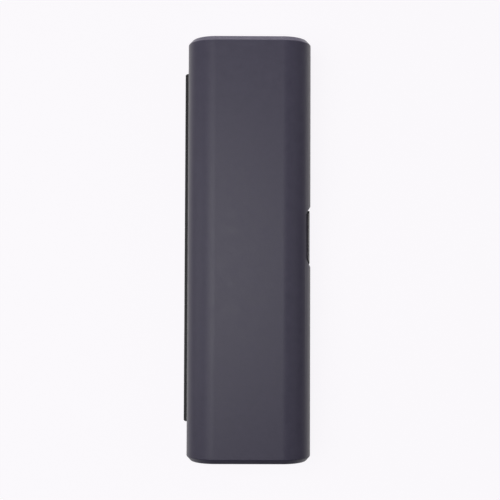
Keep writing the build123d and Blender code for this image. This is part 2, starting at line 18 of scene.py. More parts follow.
import bmesh
import bpy
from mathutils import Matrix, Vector

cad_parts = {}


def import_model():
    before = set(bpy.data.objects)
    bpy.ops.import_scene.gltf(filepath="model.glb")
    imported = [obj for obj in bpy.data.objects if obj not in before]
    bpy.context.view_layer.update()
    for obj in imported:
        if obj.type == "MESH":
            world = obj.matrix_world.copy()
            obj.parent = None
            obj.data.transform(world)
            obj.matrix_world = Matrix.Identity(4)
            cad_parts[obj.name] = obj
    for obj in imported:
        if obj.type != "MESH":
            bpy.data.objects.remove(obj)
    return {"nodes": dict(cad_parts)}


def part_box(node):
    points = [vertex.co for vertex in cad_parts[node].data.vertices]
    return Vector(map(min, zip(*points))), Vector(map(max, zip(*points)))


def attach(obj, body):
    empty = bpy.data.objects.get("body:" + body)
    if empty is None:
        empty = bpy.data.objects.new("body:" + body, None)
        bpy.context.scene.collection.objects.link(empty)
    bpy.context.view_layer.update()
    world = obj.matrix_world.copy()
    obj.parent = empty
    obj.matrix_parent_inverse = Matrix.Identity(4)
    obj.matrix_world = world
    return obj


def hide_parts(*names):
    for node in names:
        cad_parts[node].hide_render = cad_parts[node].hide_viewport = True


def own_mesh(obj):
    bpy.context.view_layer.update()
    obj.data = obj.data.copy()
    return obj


LOG = logging.getLogger("travel_case")
EPSILON = 1e-5
FAR = 1.0
QUARTER_TURN = math.pi / 2
SHARP_ANGLE = math.radians(28)
EDGE_STEPS = 3

Point = tuple[float, float, float]
Colour = tuple[float, float, float, float]
Pair = tuple[float, float]
Piece = bpy.types.Object
Material = bpy.types.Material
Socket = bpy.types.NodeSocket
Sockets = bpy.types.bpy_prop_collection

DUST_TONE: Colour = (0.42, 0.41, 0.40, 1.0)


class Body(Enum):
    """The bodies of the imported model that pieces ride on."""

    BASE = "base"
    LID = "lid"
    LATCH = "latch"


class Slot(Enum):
    """The record's material slots."""

    SHELL = "soft_touch_shell"
    LINER = "liner_plastic"
    MECHANISM = "mechanism_plastic"
    BUTTON = "button_plastic"
    RUBBER = "rest_rubber"
    SILICONE = "bumper_silicone"
    PIN = "pin_steel"
    STRIKER = "striker_steel"
    SCREW = "screw_steel"
    SPRING = "spring_steel"


class Cut(Enum):
    """What a carving step does with its tool."""

    REMOVE = "DIFFERENCE"
    KEEP = "INTERSECT"


class Axis(Enum):
    """An axis, by its place in a point."""

    X = 0
    Y = 1
    Z = 2


# ---- Node trees ----


class Graph:
    """A node tree under construction, where one call adds a node and fills its inputs."""

    def __init__(self, tree: bpy.types.NodeTree) -> None:
        """Works on an existing tree."""
        self.tree = tree

    def add(
        self,
        kind: str,
        inputs: Mapping[str | int, Any] | None = None,
        **settings: Any,
    ) -> bpy.types.Node:
        """Adds one node.

        Args:
            kind: The node's type name.
            inputs: Values or sockets for its inputs, by name or number.
            **settings: Properties of the node, such as its operation.

        Returns:
            The new node.
        """
        node = self.tree.nodes.new(kind)
        for name, value in settings.items():
            setattr(node, name, value)
        for key, value in (inputs or {}).items():
            if isinstance(value, bpy.types.NodeSocket):
                self.tree.links.new(value, node.inputs[key])
            else:
                node.inputs[key].default_value = value
        return node

    def math(self, operation: str, *values: Any) -> Socket:
        """Adds a Math node on numbers or sockets."""
        return self.add("ShaderNodeMath", dict(enumerate(values)), operation=operation).outputs[0]

    def vector(self, operation: str, *values: Any) -> Socket:
        """Adds a Vector Math node. A dot product or a length gives a number."""
        node = self.add("ShaderNodeVectorMath", dict(enumerate(values)), operation=operation)
        return node.outputs["Value" if operation in {"DOT_PRODUCT", "LENGTH"} else "Vector"]

    def mapped(self, value: Socket, span: Sequence[Any], to: Sequence[Any] = (0.0, 1.0)) -> Socket:
        """Maps a value from the ends of one span to the ends of another, and holds it there."""
        inputs = {"Value": value, 1: span[0], 2: span[1], 3: to[0], 4: to[1]}
        return self.add("ShaderNodeMapRange", inputs).outputs["Result"]

    def mixed(self, share: Any, first: Any, second: Any) -> Socket:
        """Mixes two colours. The share is how much of the second shows."""
        return self.add("ShaderNodeMix", {0: share, 6: first, 7: second}, data_type="RGBA").outputs[2]

    def noise(self, place: Socket, scale: Any, detail: float, roughness: float = 0.5) -> Socket:
        """Reads a noise at a place, with more fine layers as detail and roughness rise."""
        inputs = {"Vector": place, "Scale": scale, "Detail": detail, "Roughness": roughness}
        return self.add("ShaderNodeTexNoise", inputs).outputs[0]

    def bump(self, height: Socket, strength: Any, distance: float, **normal: Socket) -> Socket:
        """Makes a normal out of a height, and out of another Normal where one is given."""
        inputs = {"Strength": strength, "Distance": distance, "Height": height, **normal}
        return self.add("ShaderNodeBump", inputs).outputs["Normal"]

    def xyz(self, **parts: Any) -> Socket:
        """Makes a vector of its parts X, Y and Z. One that isn't given is 0."""
        return self.add("ShaderNodeCombineXYZ", parts).outputs[0]

    def lowered(self, geometry: Socket, drop: Socket) -> Socket:
        """Moves geometry down."""
        down = self.xyz(Z=self.math("MULTIPLY", drop, -1.0))
        return self.add("GeometryNodeTransform", {"Geometry": geometry, "Translation": down}).outputs[0]

    def joined(self, *parts: Socket) -> Socket:
        """Joins geometry.

        Args:
            *parts: What to join.

        Returns:
            The whole.
        """
        node = self.add("GeometryNodeJoinGeometry")
        for part in parts:
            self.tree.links.new(part, node.inputs[0])
        return node.outputs[0]


class NodeTool(Graph):
    """A node group of the script's own, with named inputs and outputs."""

    def __init__(
        self, name: str, kind: str, inputs: Mapping[str, Any], outputs: Mapping[str, str]
    ) -> None:
        """Starts the group with its sockets.

        Args:
            name: The group's name.
            kind: Its tree's type name.
            inputs: Standard values of its inputs by name, or a type name for one without.
            outputs: Type names of its outputs by name.
        """
        super().__init__(bpy.data.node_groups.new(name, kind))
        kinds = {float: "Float", int: "Int", bool: "Bool"}
        for label, value in inputs.items():
            if isinstance(value, str):
                self.socket(label, "INPUT", value)
            else:
                self.socket(label, "INPUT", kinds[type(value)]).default_value = value
        for label, value in outputs.items():
            self.socket(label, "OUTPUT", value)
        self.given = self.add("NodeGroupInput").outputs

    def socket(self, label: str, side: str, kind: str) -> bpy.types.NodeTreeInterfaceSocket:
        """Adds a socket to the group's outside."""
        return self.tree.interface.new_socket(label, in_out=side, socket_type=f"NodeSocket{kind}")


class ShaderTool(NodeTool):
    """A shader node group that several finishes share."""

    def __init__(self, name: str, inputs: Mapping[str, float], outputs: Mapping[str, str]) -> None:
        """Starts the group. It takes a Vector beside its inputs."""
        super().__init__(name, "ShaderNodeTree", {"Vector": "Vector", **inputs}, outputs)

    def end(self, **values: Socket) -> ShaderTool:
        """Links the group's outputs, and gives the finished group."""
        self.add("NodeGroupOutput", values)
        return self

    def use(self, graph: Graph, **inputs: Any) -> Sockets:
        """Places the group in a material, and gives its outputs there."""
        return graph.add("ShaderNodeGroup", inputs, node_tree=self.tree).outputs


class GeometryTool(NodeTool):
    """A Geometry Nodes tree that ends in one plain, dressed mesh."""

    def __init__(self, name: str, inputs: Mapping[str, Any]) -> None:
        """Starts the tree. It takes points and a Material beside its inputs."""
        ports = {"Geometry": "Geometry", "Material": "Material", **inputs}
        super().__init__(name, "GeometryNodeTree", ports, {"Geometry": "Geometry"})

    def on_points(self, shape: Socket, turn: Any = (0.0, 0.0, 0.0)) -> Socket:
        """Sets a turned copy of a shape at each point that the tree starts from."""
        inputs = {"Points": self.given["Geometry"], "Instance": shape, "Rotation": turn}
        return self.add("GeometryNodeInstanceOnPoints", inputs).outputs[0]

    def end(self, geometry: Socket) -> None:
        """Ends the tree with Realize Instances and Set Material.

        Args:
            geometry: What the tree makes.
        """
        real = self.add("GeometryNodeRealizeInstances", {"Geometry": geometry}).outputs[0]
        dressed = {"Geometry": real, "Material": self.given["Material"]}
        self.add("NodeGroupOutput", {0: self.add("GeometryNodeSetMaterial", dressed).outputs[0]})

    def make(
        self,
        name: str,
        material: Material | None,
        points: Sequence[Point] = (),
        **inputs: Any,
    ) -> Piece:
        """Runs the tree once.

        Args:
            name: The new piece's name.
            material: Its finish.
            points: The points that the tree starts from, where it repeats a thing.
            **inputs: Values of the tree's inputs, with _ for a space.

        Returns:
            A plain mesh object, with no modifier left on it.
        """
        seed = bpy.data.meshes.new(name)
        seed.from_pydata(list(points), [], [])
        piece = bpy.data.objects.new(name, seed)
        bpy.context.scene.collection.objects.link(piece)
        modifier = piece.modifiers.new("rule", "NODES")
        modifier.node_group = self.tree
        items = self.tree.interface.items_tree
        sockets = {item.name: item.identifier for item in items if item.in_out == "INPUT"}
        if material is not None:
            modifier[sockets["Material"]] = material
        for label, value in inputs.items():
            modifier[sockets[label.replace("_", " ")]] = value
        return settled(piece)


# ---- Mesh work ----


def settled(piece: Piece) -> Piece:
    """Turns what a piece's modifiers make of it into its own mesh.

    Args:
        piece: A mesh object.

    Returns:
        The same object, with a plain mesh and no modifiers.
    """
    bpy.context.view_layer.update()
    graph = bpy.context.evaluated_depsgraph_get()
    mesh = bpy.data.meshes.new_from_object(piece.evaluated_get(graph))
    piece.modifiers.clear()
    piece.data = mesh
    mesh.name = piece.name
    return piece


def solid(name: str, verts: Sequence[Point], faces: Sequence[Sequence[int]]) -> Piece:
    """Makes a mesh object whose faces point outwards.

    Args:
        name: The object's name.
        verts: Its corners.
        faces: Its faces, as corner numbers.

    Returns:
        The object, linked to the scene.
    """
    mesh = bpy.data.meshes.new(name)
    mesh.from_pydata(list(verts), [], [list(face) for face in faces])
    work = bmesh.new()
    work.from_mesh(mesh)
    bmesh.ops.recalc_face_normals(work, faces=work.faces)
    work.to_mesh(mesh)
    work.free()
    piece = bpy.data.objects.new(name, mesh)
    bpy.context.scene.collection.objects.link(piece)
    return piece


def block(low: Point, high: Point) -> Piece:
    """Makes a plain block, used as a carving tool.

    Args:
        low: Its lowest corner.
        high: Its highest corner.

    Returns:
        The block.
    """
    verts = [(x, y, z) for x in (low[0], high[0]) for y in (low[1], high[1]) for z in (low[2], high[2])]
    faces = [(0, 1, 3, 2), (4, 5, 7, 6), (0, 1, 5, 4), (2, 3, 7, 6), (0, 2, 6, 4), (1, 3, 7, 5)]
    return solid("block", verts, faces)


def prism(outline: Sequence[Pair], axis: Axis, low: float, high: float) -> Piece:
    """Makes a straight prism.

    Args:
        outline: Its section's corners in turn, each by its places on the two other axes.
        axis: The axis that it runs along.
        low: Where it starts on that axis.
        high: Where it ends.

    Returns:
        The prism.
    """
    count = len(outline)
    verts: list[Point] = []
    for level in (low, high):
        for corner in outline:
            place = list(corner)
            place.insert(axis.value, level)
            verts.append(tuple(place))
    faces: list[Sequence[int]] = [range(count), range(count, 2 * count)]
    for i in range(count):
        j = (i + 1) % count
        faces.append((i, j, j + count, i + count))
    return solid("prism", verts, faces)


def carve(piece: Piece, tool: Piece, cut: Cut = Cut.REMOVE) -> None:
    """Cuts a piece with a tool, which is used up.

    Args:
        piece: The mesh object to change.
        tool: The carving tool.
        cut: What happens where they overlap.
    """
    modifier = piece.modifiers.new("cut", "BOOLEAN")
    modifier.object = tool
    modifier.operation = cut.value
    modifier.solver = "EXACT"
    settled(piece)
    bpy.data.objects.remove(tool)


def soften_edges(
    piece: Piece,
    width: float,
    share: Callable[[Vector, Vector], float] = lambda first, second: 1.0,
) -> None:
    """Rounds a piece's sharp edges, as a mould leaves them.

    Args:
        piece: The mesh object to change.
        width: How far the rounding reaches from the edge.
        share: How much of the width an edge gets, from its two ends.
    """
    work = bmesh.new()
    work.from_mesh(piece.data)
    bmesh.ops.remove_doubles(work, verts=work.verts, dist=EPSILON)
    bmesh.ops.dissolve_degenerate(work, edges=work.edges, dist=EPSILON)
    weight = work.edges.layers.float.new("bevel_weight_edge")
    for edge in work.edges:
        if edge.calc_face_angle(0.0) > SHARP_ANGLE:
            edge[weight] = share(*(vert.co for vert in edge.verts))
    work.to_mesh(piece.data)
    work.free()
    for polygon in piece.data.polygons:
        polygon.use_smooth = True
    rounding = piece.modifiers.new("rounding", "BEVEL")
    rounding.width = width
    rounding.segments = EDGE_STEPS
    rounding.limit_method = "WEIGHT"
    rounding.use_clamp_overlap = False
    rounding.miter_outer = "MITER_ARC"
    even = piece.modifiers.new("even", "WEIGHTED_NORMAL")
    even.keep_sharp = True
    settled(piece)


def place(piece: Piece, body: Body, slot: Slot, material: Material, *nodes: str) -> None:
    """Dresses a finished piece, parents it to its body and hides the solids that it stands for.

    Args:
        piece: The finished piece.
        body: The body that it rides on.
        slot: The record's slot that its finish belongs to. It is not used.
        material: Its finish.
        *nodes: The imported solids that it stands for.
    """
    piece.data.materials.clear()
    piece.data.materials.append(material)
    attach(piece, body.value)
    if nodes:
        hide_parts(*nodes)
    LOG.info("%s: %d faces, on %s", piece.name, len(piece.data.polygons), body.value)


# ---- Shared effects ----


@dataclass
class Effects:
    """The shader groups that the finishes share."""

    fine_share: float = 0.35
    patch_roughness: float = 0.65
    patch_span: Pair = (0.3, 0.7)
    grain_height: float = 0.0002
    wear_reach: float = 0.0004
    worn_bend: Pair = (0.995, 0.9)
    rub_scale: float = 320.0
    rub_span: Pair = (0.35, 0.65)
    least_rub: float = 0.25
    speck_scale: float = 1900.0
    speck_span: Pair = (0.66, 0.78)
    upward_span: Pair = (0.2, 0.9)
    grain: ShaderTool = field(init=False)
    wear: ShaderTool = field(init=False)
    dust: ShaderTool = field(init=False)

    def __post_init__(self) -> None:
        """Builds the groups."""
        self.grain = self.build_grain()
        self.wear = self.build_wear()
        self.dust = self.build_dust()

    def build_grain(self) -> ShaderTool:
        """A moulded or sprayed grain.

        Returns:
            A group whose Mottle runs from 0 to 1 in soft patches and whose Normal is the
            surface's with the grain's fine bumps.
        """
        inputs = {"Grain": 2500.0, "Patch": 160.0, "Depth": 0.1}
        tool = ShaderTool("grain", inputs, {"Mottle": "Float", "Normal": "Vector"})
        given = tool.given
        fine = tool.noise(given["Vector"], given["Grain"], detail=2.0)
        patch = tool.noise(given["Vector"], given["Patch"], detail=4.0, roughness=self.patch_roughness)
        both = tool.math("MULTIPLY", patch, 1.0 - self.fine_share)
        both = tool.math("MULTIPLY_ADD", fine, self.fine_share, both)
        return tool.end(
            Mottle=tool.mapped(both, self.patch_span),
            Normal=tool.bump(fine, given["Depth"], self.grain_height),
        )

    def build_wear(self) -> ShaderTool:
        """Edges that handling has polished.

        Returns:
            A group whose Mask is 1 on worn edges and 0 elsewhere.
        """
        tool = ShaderTool("edge_wear", {"Reach": self.wear_reach, "Amount": 0.5}, {"Mask": "Float"})
        rounded = tool.add("ShaderNodeBevel", {"Radius": tool.given["Reach"]}, samples=4).outputs[0]
        normal = tool.add("ShaderNodeNewGeometry").outputs["Normal"]
        edge = tool.mapped(tool.vector("DOT_PRODUCT", rounded, normal), self.worn_bend)
        rub = tool.noise(tool.given["Vector"], self.rub_scale, detail=3.0)
        broken = tool.mapped(rub, self.rub_span, (self.least_rub, 1.0))
        mask = tool.math("MULTIPLY", tool.math("MULTIPLY", edge, broken), tool.given["Amount"])
        return tool.end(Mask=mask)

    def build_dust(self) -> ShaderTool:
        """Fine dust on faces that look up.

        Returns:
            A group whose Mask is 1 where dust covers the surface.
        """
        tool = ShaderTool("dust", {"Amount": 0.1}, {"Mask": "Float"})
        normal = tool.add("ShaderNodeNewGeometry").outputs["Normal"]
        upwards = tool.vector("DOT_PRODUCT", normal, (0.0, 0.0, 1.0))
        specks = tool.noise(tool.given["Vector"], self.speck_scale, detail=1.0)
        spots = tool.mapped(specks, self.speck_span)
        facing = tool.mapped(upwards, self.upward_span)
        mask = tool.math("MULTIPLY", tool.math("MULTIPLY", spots, facing), tool.given["Amount"])
        return tool.end(Mask=mask)


# ---- Finishes ----


class Coat(Graph):
    """A material under construction, which ends in one shader."""

    def __init__(self, name: str) -> None:
        """Starts the material with its Object coordinates.

        Args:
            name: The material's name.
        """
        self.material = bpy.data.materials.new(name)
        self.material.use_nodes = True
        self.material.node_tree.nodes.clear()
        super().__init__(self.material.node_tree)
        self.place_on = self.add("ShaderNodeTexCoord").outputs["Object"]

    def end(self, inputs: Mapping[str, Any]) -> Material:
        """Ends the material with its shader.

        Args:
            inputs: Values or sockets of the shader's inputs.

        Returns:
            The material.
        """
        shader = self.add("ShaderNodeBsdfPrincipled", inputs)
        self.add("ShaderNodeOutputMaterial", {"Surface": shader.outputs[0]})
        return self.material


@dataclass(frozen=True)
class Moulding:
    """A moulded or coated plastic, or a rubber, with its grain, worn edges and dust.

    The colour runs between a deep and a raised tone with the grain's patches, and worn
    edges turn towards the polished tone. A rubber has ribs as well.
    """

    name: str
    deep: Colour
    raised: Colour
    polished: Colour
    roughness: float = 0.55
    specular: float = 0.5
    grain: float = 2500.0
    patch: float = 160.0
    grain_depth: float = 0.1
    roughness_spread: float = 0.06
    worn_roughness: float = -0.12
    dusty_roughness: float = 0.2
    wear: float = 0.3
    dust: float = 0.05
    sheen: float = 0.0
    sheen_roughness: float = 0.4
    rib_pitch: float = 0.0
    rib_depth: float = 0.00012
    rib_strength: float = 0.8
    subsurface: float = 0.0
    subsurface_reach: float = 0.002

    def build(self, effects: Effects) -> Material:
        """Makes the material.

        Args:
            effects: The shared shader groups.

        Returns:
            The material.
        """
        coat = Coat(self.name)
        sizes = {"Grain": self.grain, "Patch": self.patch, "Depth": self.grain_depth}
        grain = effects.grain.use(coat, Vector=coat.place_on, **sizes)
        worn = effects.wear.use(coat, Vector=coat.place_on, Amount=self.wear)["Mask"]
        dusty = effects.dust.use(coat, Vector=coat.place_on, Amount=self.dust)["Mask"]
        colour = coat.mixed(grain["Mottle"], self.deep, self.raised)
        colour = coat.mixed(worn, colour, self.polished)
        colour = coat.mixed(dusty, colour, DUST_TONE)
        least, most = self.roughness - self.roughness_spread, self.roughness + self.roughness_spread
        rough = coat.mapped(grain["Mottle"], (0.0, 1.0), (least, most))
        rough = coat.math("MULTIPLY_ADD", worn, self.worn_roughness, rough)
        rough = coat.math("MULTIPLY_ADD", dusty, self.dusty_roughness, rough)
        inputs = {
            "Base Color": colour,
            "Roughness": rough,
            "Specular IOR Level": self.specular,
            "Normal": self.ribbed(coat, grain["Normal"]),
        }
        if self.sheen:
            inputs |= {"Sheen Weight": self.sheen, "Sheen Roughness": self.sheen_roughness}
        if self.subsurface:
            inputs |= {"Subsurface Weight": self.subsurface, "Subsurface Scale": self.subsurface_reach}
        return coat.end(inputs)

    def ribbed(self, coat: Coat, normal: Socket) -> Socket:
        """Adds ribs across the case's length where the finish has them.

        Args:
            coat: The material.
            normal: The surface's normal so far.

        Returns:
            The normal's socket with the ribs.
        """
        if not self.rib_pitch:
            return normal
        along = coat.add("ShaderNodeSeparateXYZ", {0: coat.place_on}).outputs["Y"]
        wave = coat.math("SINE", coat.math("MULTIPLY", along, 2 * math.pi / self.rib_pitch))
        return coat.bump(wave, self.rib_strength, self.rib_depth, Normal=normal)


@dataclass(frozen=True)
class Metal:
    """A steel with drawn or brushed lines along one axis and a little tarnish."""

    name: str
    bright: Colour
    dull: Colour
    roughness: float = 0.3
    lines: Point = (1.0, 1.0, 1.0)
    line_scale: float = 900.0
    line_depth: float = 0.08
    line_height: float = 0.0001
    line_span: Pair = (0.3, 0.7)
    line_gloss: Pair = (0.75, 1.25)
    stain_scale: float = 260.0
    stain_span: Pair = (0.45, 0.7)
    stain_roughness: float = 0.25
    tarnish: float = 0.3
    rubbed: Colour = (0.75, 0.75, 0.74, 1.0)
    wear: float = 0.6
    dust: float = 0.05

    def build(self, effects: Effects) -> Material:
        """Makes the material.

        Args:
            effects: The shared shader groups.

        Returns:
            The material.
        """
        coat = Coat(self.name)
        drawn = coat.add("ShaderNodeMapping", {"Vector": coat.place_on, "Scale": self.lines})
        lines = coat.noise(drawn.outputs[0], self.line_scale, detail=3.0)
        worn = effects.wear.use(coat, Vector=coat.place_on, Amount=self.wear)["Mask"]
        dusty = effects.dust.use(coat, Vector=coat.place_on, Amount=self.dust)["Mask"]
        stain = coat.noise(coat.place_on, self.stain_scale, detail=4.0)
        stained = coat.math("MULTIPLY", coat.mapped(stain, self.stain_span), self.tarnish)
        colour = coat.mixed(stained, self.bright, self.dull)
        colour = coat.mixed(worn, colour, self.rubbed)
        colour = coat.mixed(dusty, colour, DUST_TONE)
        rough = coat.mapped(lines, self.line_span, [share * self.roughness for share in self.line_gloss])
        return coat.end({
            "Base Color": colour,
            "Metallic": 1.0,
            "Roughness": coat.math("MULTIPLY_ADD", stained, self.stain_roughness, rough),
            "Normal": coat.bump(lines, self.line_depth, self.line_height),
        })


@dataclass(frozen=True)
class PaleFloor:
    """The pale sheet that the case lies on, which glows.

    It looks evenly pale, as in the photograph, but towards the case its glow is a painted
    pool of light close around it, with a painted contact shadow right under its edge.
    """

    name: str = "pale_floor"
    paper: Colour = (0.12, 0.12, 0.12, 1.0)
    fibre: Colour = (0.2, 0.2, 0.2, 1.0)
    fibre_scale: float = 500.0
    fibre_span: Pair = (0.3, 0.7)
    fibre_share: float = 0.04
    glow: Colour = (0.965, 0.945, 0.975, 1.0)
    seen_strength: float = 0.945
    painted_pool_strength: float = 0.66
    foot: Point = (0.036, 0.120, 1.0)
    foot_shade: Pair = (0.004, 0.018)
    fade: Pair = (0.065, 0.15)
    roughness: float = 0.9

    def build(self) -> Material:
        """Makes the material.

        Returns:
            The material.
        """
        coat = Coat(self.name)
        fibres = coat.noise(coat.place_on, self.fibre_scale, detail=3.0)
        fibres = coat.mapped(fibres, self.fibre_span, (0.0, self.fibre_share))
        # Painted light: the glow that the case sees is a painted pool of light around its foot, taken out
        # within foot_shade of the foot as a painted contact shadow and faded out over fade.
        beyond = coat.vector("SUBTRACT", coat.vector("ABSOLUTE", coat.place_on), self.foot)
        away = coat.vector("LENGTH", coat.vector("MAXIMUM", beyond, (0.0, 0.0, 0.0)))
        painted_glow_pool = coat.mapped(away, self.foot_shade, (0.0, self.painted_pool_strength))
        painted_glow_pool = coat.math("MULTIPLY", painted_glow_pool, coat.mapped(away, self.fade, (1.0, 0.0)))
        seen = coat.add("ShaderNodeLightPath").outputs["Is Camera Ray"]
        unseen = coat.math("SUBTRACT", 1.0, seen)
        lit = coat.math("MULTIPLY_ADD", seen, self.seen_strength, coat.math("MULTIPLY", unseen, painted_glow_pool))
        return coat.end({
            "Base Color": coat.mixed(fibres, self.paper, self.fibre),
            "Roughness": self.roughness,
            "Specular IOR Level": 0.0,
            "Emission Color": self.glow,
            "Emission Strength": lit,
        })


@dataclass
class Finishes:
    """Every finish of the case, made once."""

    effects: Effects = field(default_factory=Effects)
    made: dict[Slot, Material] = field(init=False)
    scoop: Material = field(init=False)

    def __post_init__(self) -> None:
        """Builds the materials."""
        recipes = {
            Slot.SHELL: Moulding(
                "soft_touch_coat",
                deep=(0.047, 0.042, 0.075, 1.0),
                raised=(0.061, 0.055, 0.094, 1.0),
                polished=(0.085, 0.078, 0.120, 1.0),
                roughness=0.45,
                grain_depth=0.12,
                wear=0.25,
                dust=0.02,
                sheen=0.18,
            ),
            Slot.LINER: Moulding(
                "satin_black_moulding",
                deep=(0.012, 0.012, 0.014, 1.0),
                raised=(0.019, 0.019, 0.022, 1.0),
                polished=(0.045, 0.045, 0.05, 1.0),
                roughness=0.5,
                specular=0.4,
                grain=1800.0,
                grain_depth=0.16,
                dust=0.04,
            ),
            Slot.MECHANISM: Moulding(
                "slick_black_moulding",
                deep=(0.017, 0.017, 0.018, 1.0),
                raised=(0.024, 0.024, 0.026, 1.0),
                polished=(0.06, 0.06, 0.065, 1.0),
                roughness=0.34,
                grain=1500.0,
                grain_depth=0.06,
            ),
            Slot.BUTTON: Moulding(
                "satin_grey_moulding",
                deep=(0.370, 0.362, 0.382, 1.0),
                raised=(0.410, 0.402, 0.422, 1.0),
                polished=(0.46, 0.452, 0.47, 1.0),
                roughness=0.32,
                grain_depth=0.08,
                wear=0.5,
            ),
            Slot.RUBBER: Moulding(
                "ribbed_rubber",
                deep=(0.036, 0.037, 0.042, 1.0),
                raised=(0.052, 0.053, 0.06, 1.0),
                polished=(0.08, 0.08, 0.09, 1.0),
                roughness=0.78,
                specular=0.3,
                grain=1200.0,
                grain_depth=0.2,
                dust=0.12,
                sheen=0.12,
                rib_pitch=0.002,
            ),
            Slot.SILICONE: Moulding(
                "pale_silicone",
                deep=(0.22, 0.22, 0.24, 1.0),
                raised=(0.28, 0.28, 0.3, 1.0),
                polished=(0.34, 0.34, 0.36, 1.0),
                roughness=0.5,
                specular=0.35,
                grain_depth=0.05,
                subsurface=0.35,
            ),
            Slot.PIN: Metal(
                "ground_pin_steel",
                bright=(0.55, 0.55, 0.56, 1.0),
                dull=(0.35, 0.34, 0.34, 1.0),
                roughness=0.24,
            ),
            Slot.STRIKER: Metal(
                "brushed_striker_steel",
                bright=(0.52, 0.52, 0.53, 1.0),
                dull=(0.36, 0.35, 0.35, 1.0),
                roughness=0.32,
                lines=(1.0, 0.04, 1.0),
            ),
            Slot.SCREW: Metal(
                "zinc_plated_steel",
                bright=(0.50, 0.51, 0.53, 1.0),
                dull=(0.33, 0.33, 0.31, 1.0),
            ),
            Slot.SPRING: Metal(
                "drawn_spring_steel",
                bright=(0.48, 0.49, 0.50, 1.0),
                dull=(0.28, 0.27, 0.26, 1.0),
                roughness=0.27,
            ),
        }
        self.made = {slot: recipe.build(self.effects) for slot, recipe in recipes.items()}
        # The scoop's finish: a rougher, less glossy grip texture, with a tone darker than the shell's that
        # is painted shade in the recess.
        self.scoop = Moulding(
            "textured_scoop_painted_shade",
            deep=(0.036, 0.032, 0.052, 1.0),
            raised=(0.048, 0.043, 0.066, 1.0),
            polished=(0.06, 0.055, 0.08, 1.0),
            roughness=0.85,
            specular=0.12,
            grain=1500.0,
            grain_depth=0.3,
            wear=0.2,
        ).build(self.effects)

    def __getitem__(self, slot: Slot) -> Material:
        """The finish of a slot."""
        return self.made[slot]


# ---- Outer shells ----


@dataclass(frozen=True)
class CaseSizes:
    """The closed case's sizes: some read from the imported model, the others known."""

    half_width: float
    half_length: float
    height: float
    base_rim: float
    lid_rim: float
    wall: float = 0.002
    corner_radius: float = 0.0165
    bevel_run: float = 0.0026
    bevel_inset: float = 0.0024

    @classmethod
    def from_frame(cls) -> CaseSizes:
        """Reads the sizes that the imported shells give.

        Returns:
            The case's sizes.
        """
        _, base_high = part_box("base_shell")
        lid_low, lid_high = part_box("lid_shell")
        return cls(base_high.x, base_high.y, lid_high.z, base_high.z, lid_low.z)

    @property
    def parting(self) -> float:
        """Height of the middle of the gap between the halves."""
        return (self.base_rim + self.lid_rim) / 2


@dataclass(frozen=True)
class LatchSizes:
    """Sizes of the recess, the window and the push button on the right side."""

    middle: float = 0.0072
    recess_length: float = 0.035
    recess_depth: float = 0.0013
    recess_tilt: float = math.radians(7.5)
    recess_end_slope: float = 1.6
    pad_length: float = 0.039
    pad_depth: float = 0.0042
    window_length: float = 0.0316
    window_gap: float = 0.0003
    button_length: float = 0.031
    button_end_slope: float = 1.3
    plate_thickness: float = 0.0009
    plate_inset: float = 0.0008
    ear_depth: float = 0.0020
    dish_half_length: float = 0.0130
    dish_half_height: float = 0.0044
    dish_depth: float = 0.0006


@dataclass(frozen=True)
class HingeSizes:
    """Sizes of the hinge barrel."""

    radius: float = 0.0018
    clearance: float = 0.0003
    pin_recess: float = 0.0005
    knuckles: int = 9
    gap: float = 0.0003


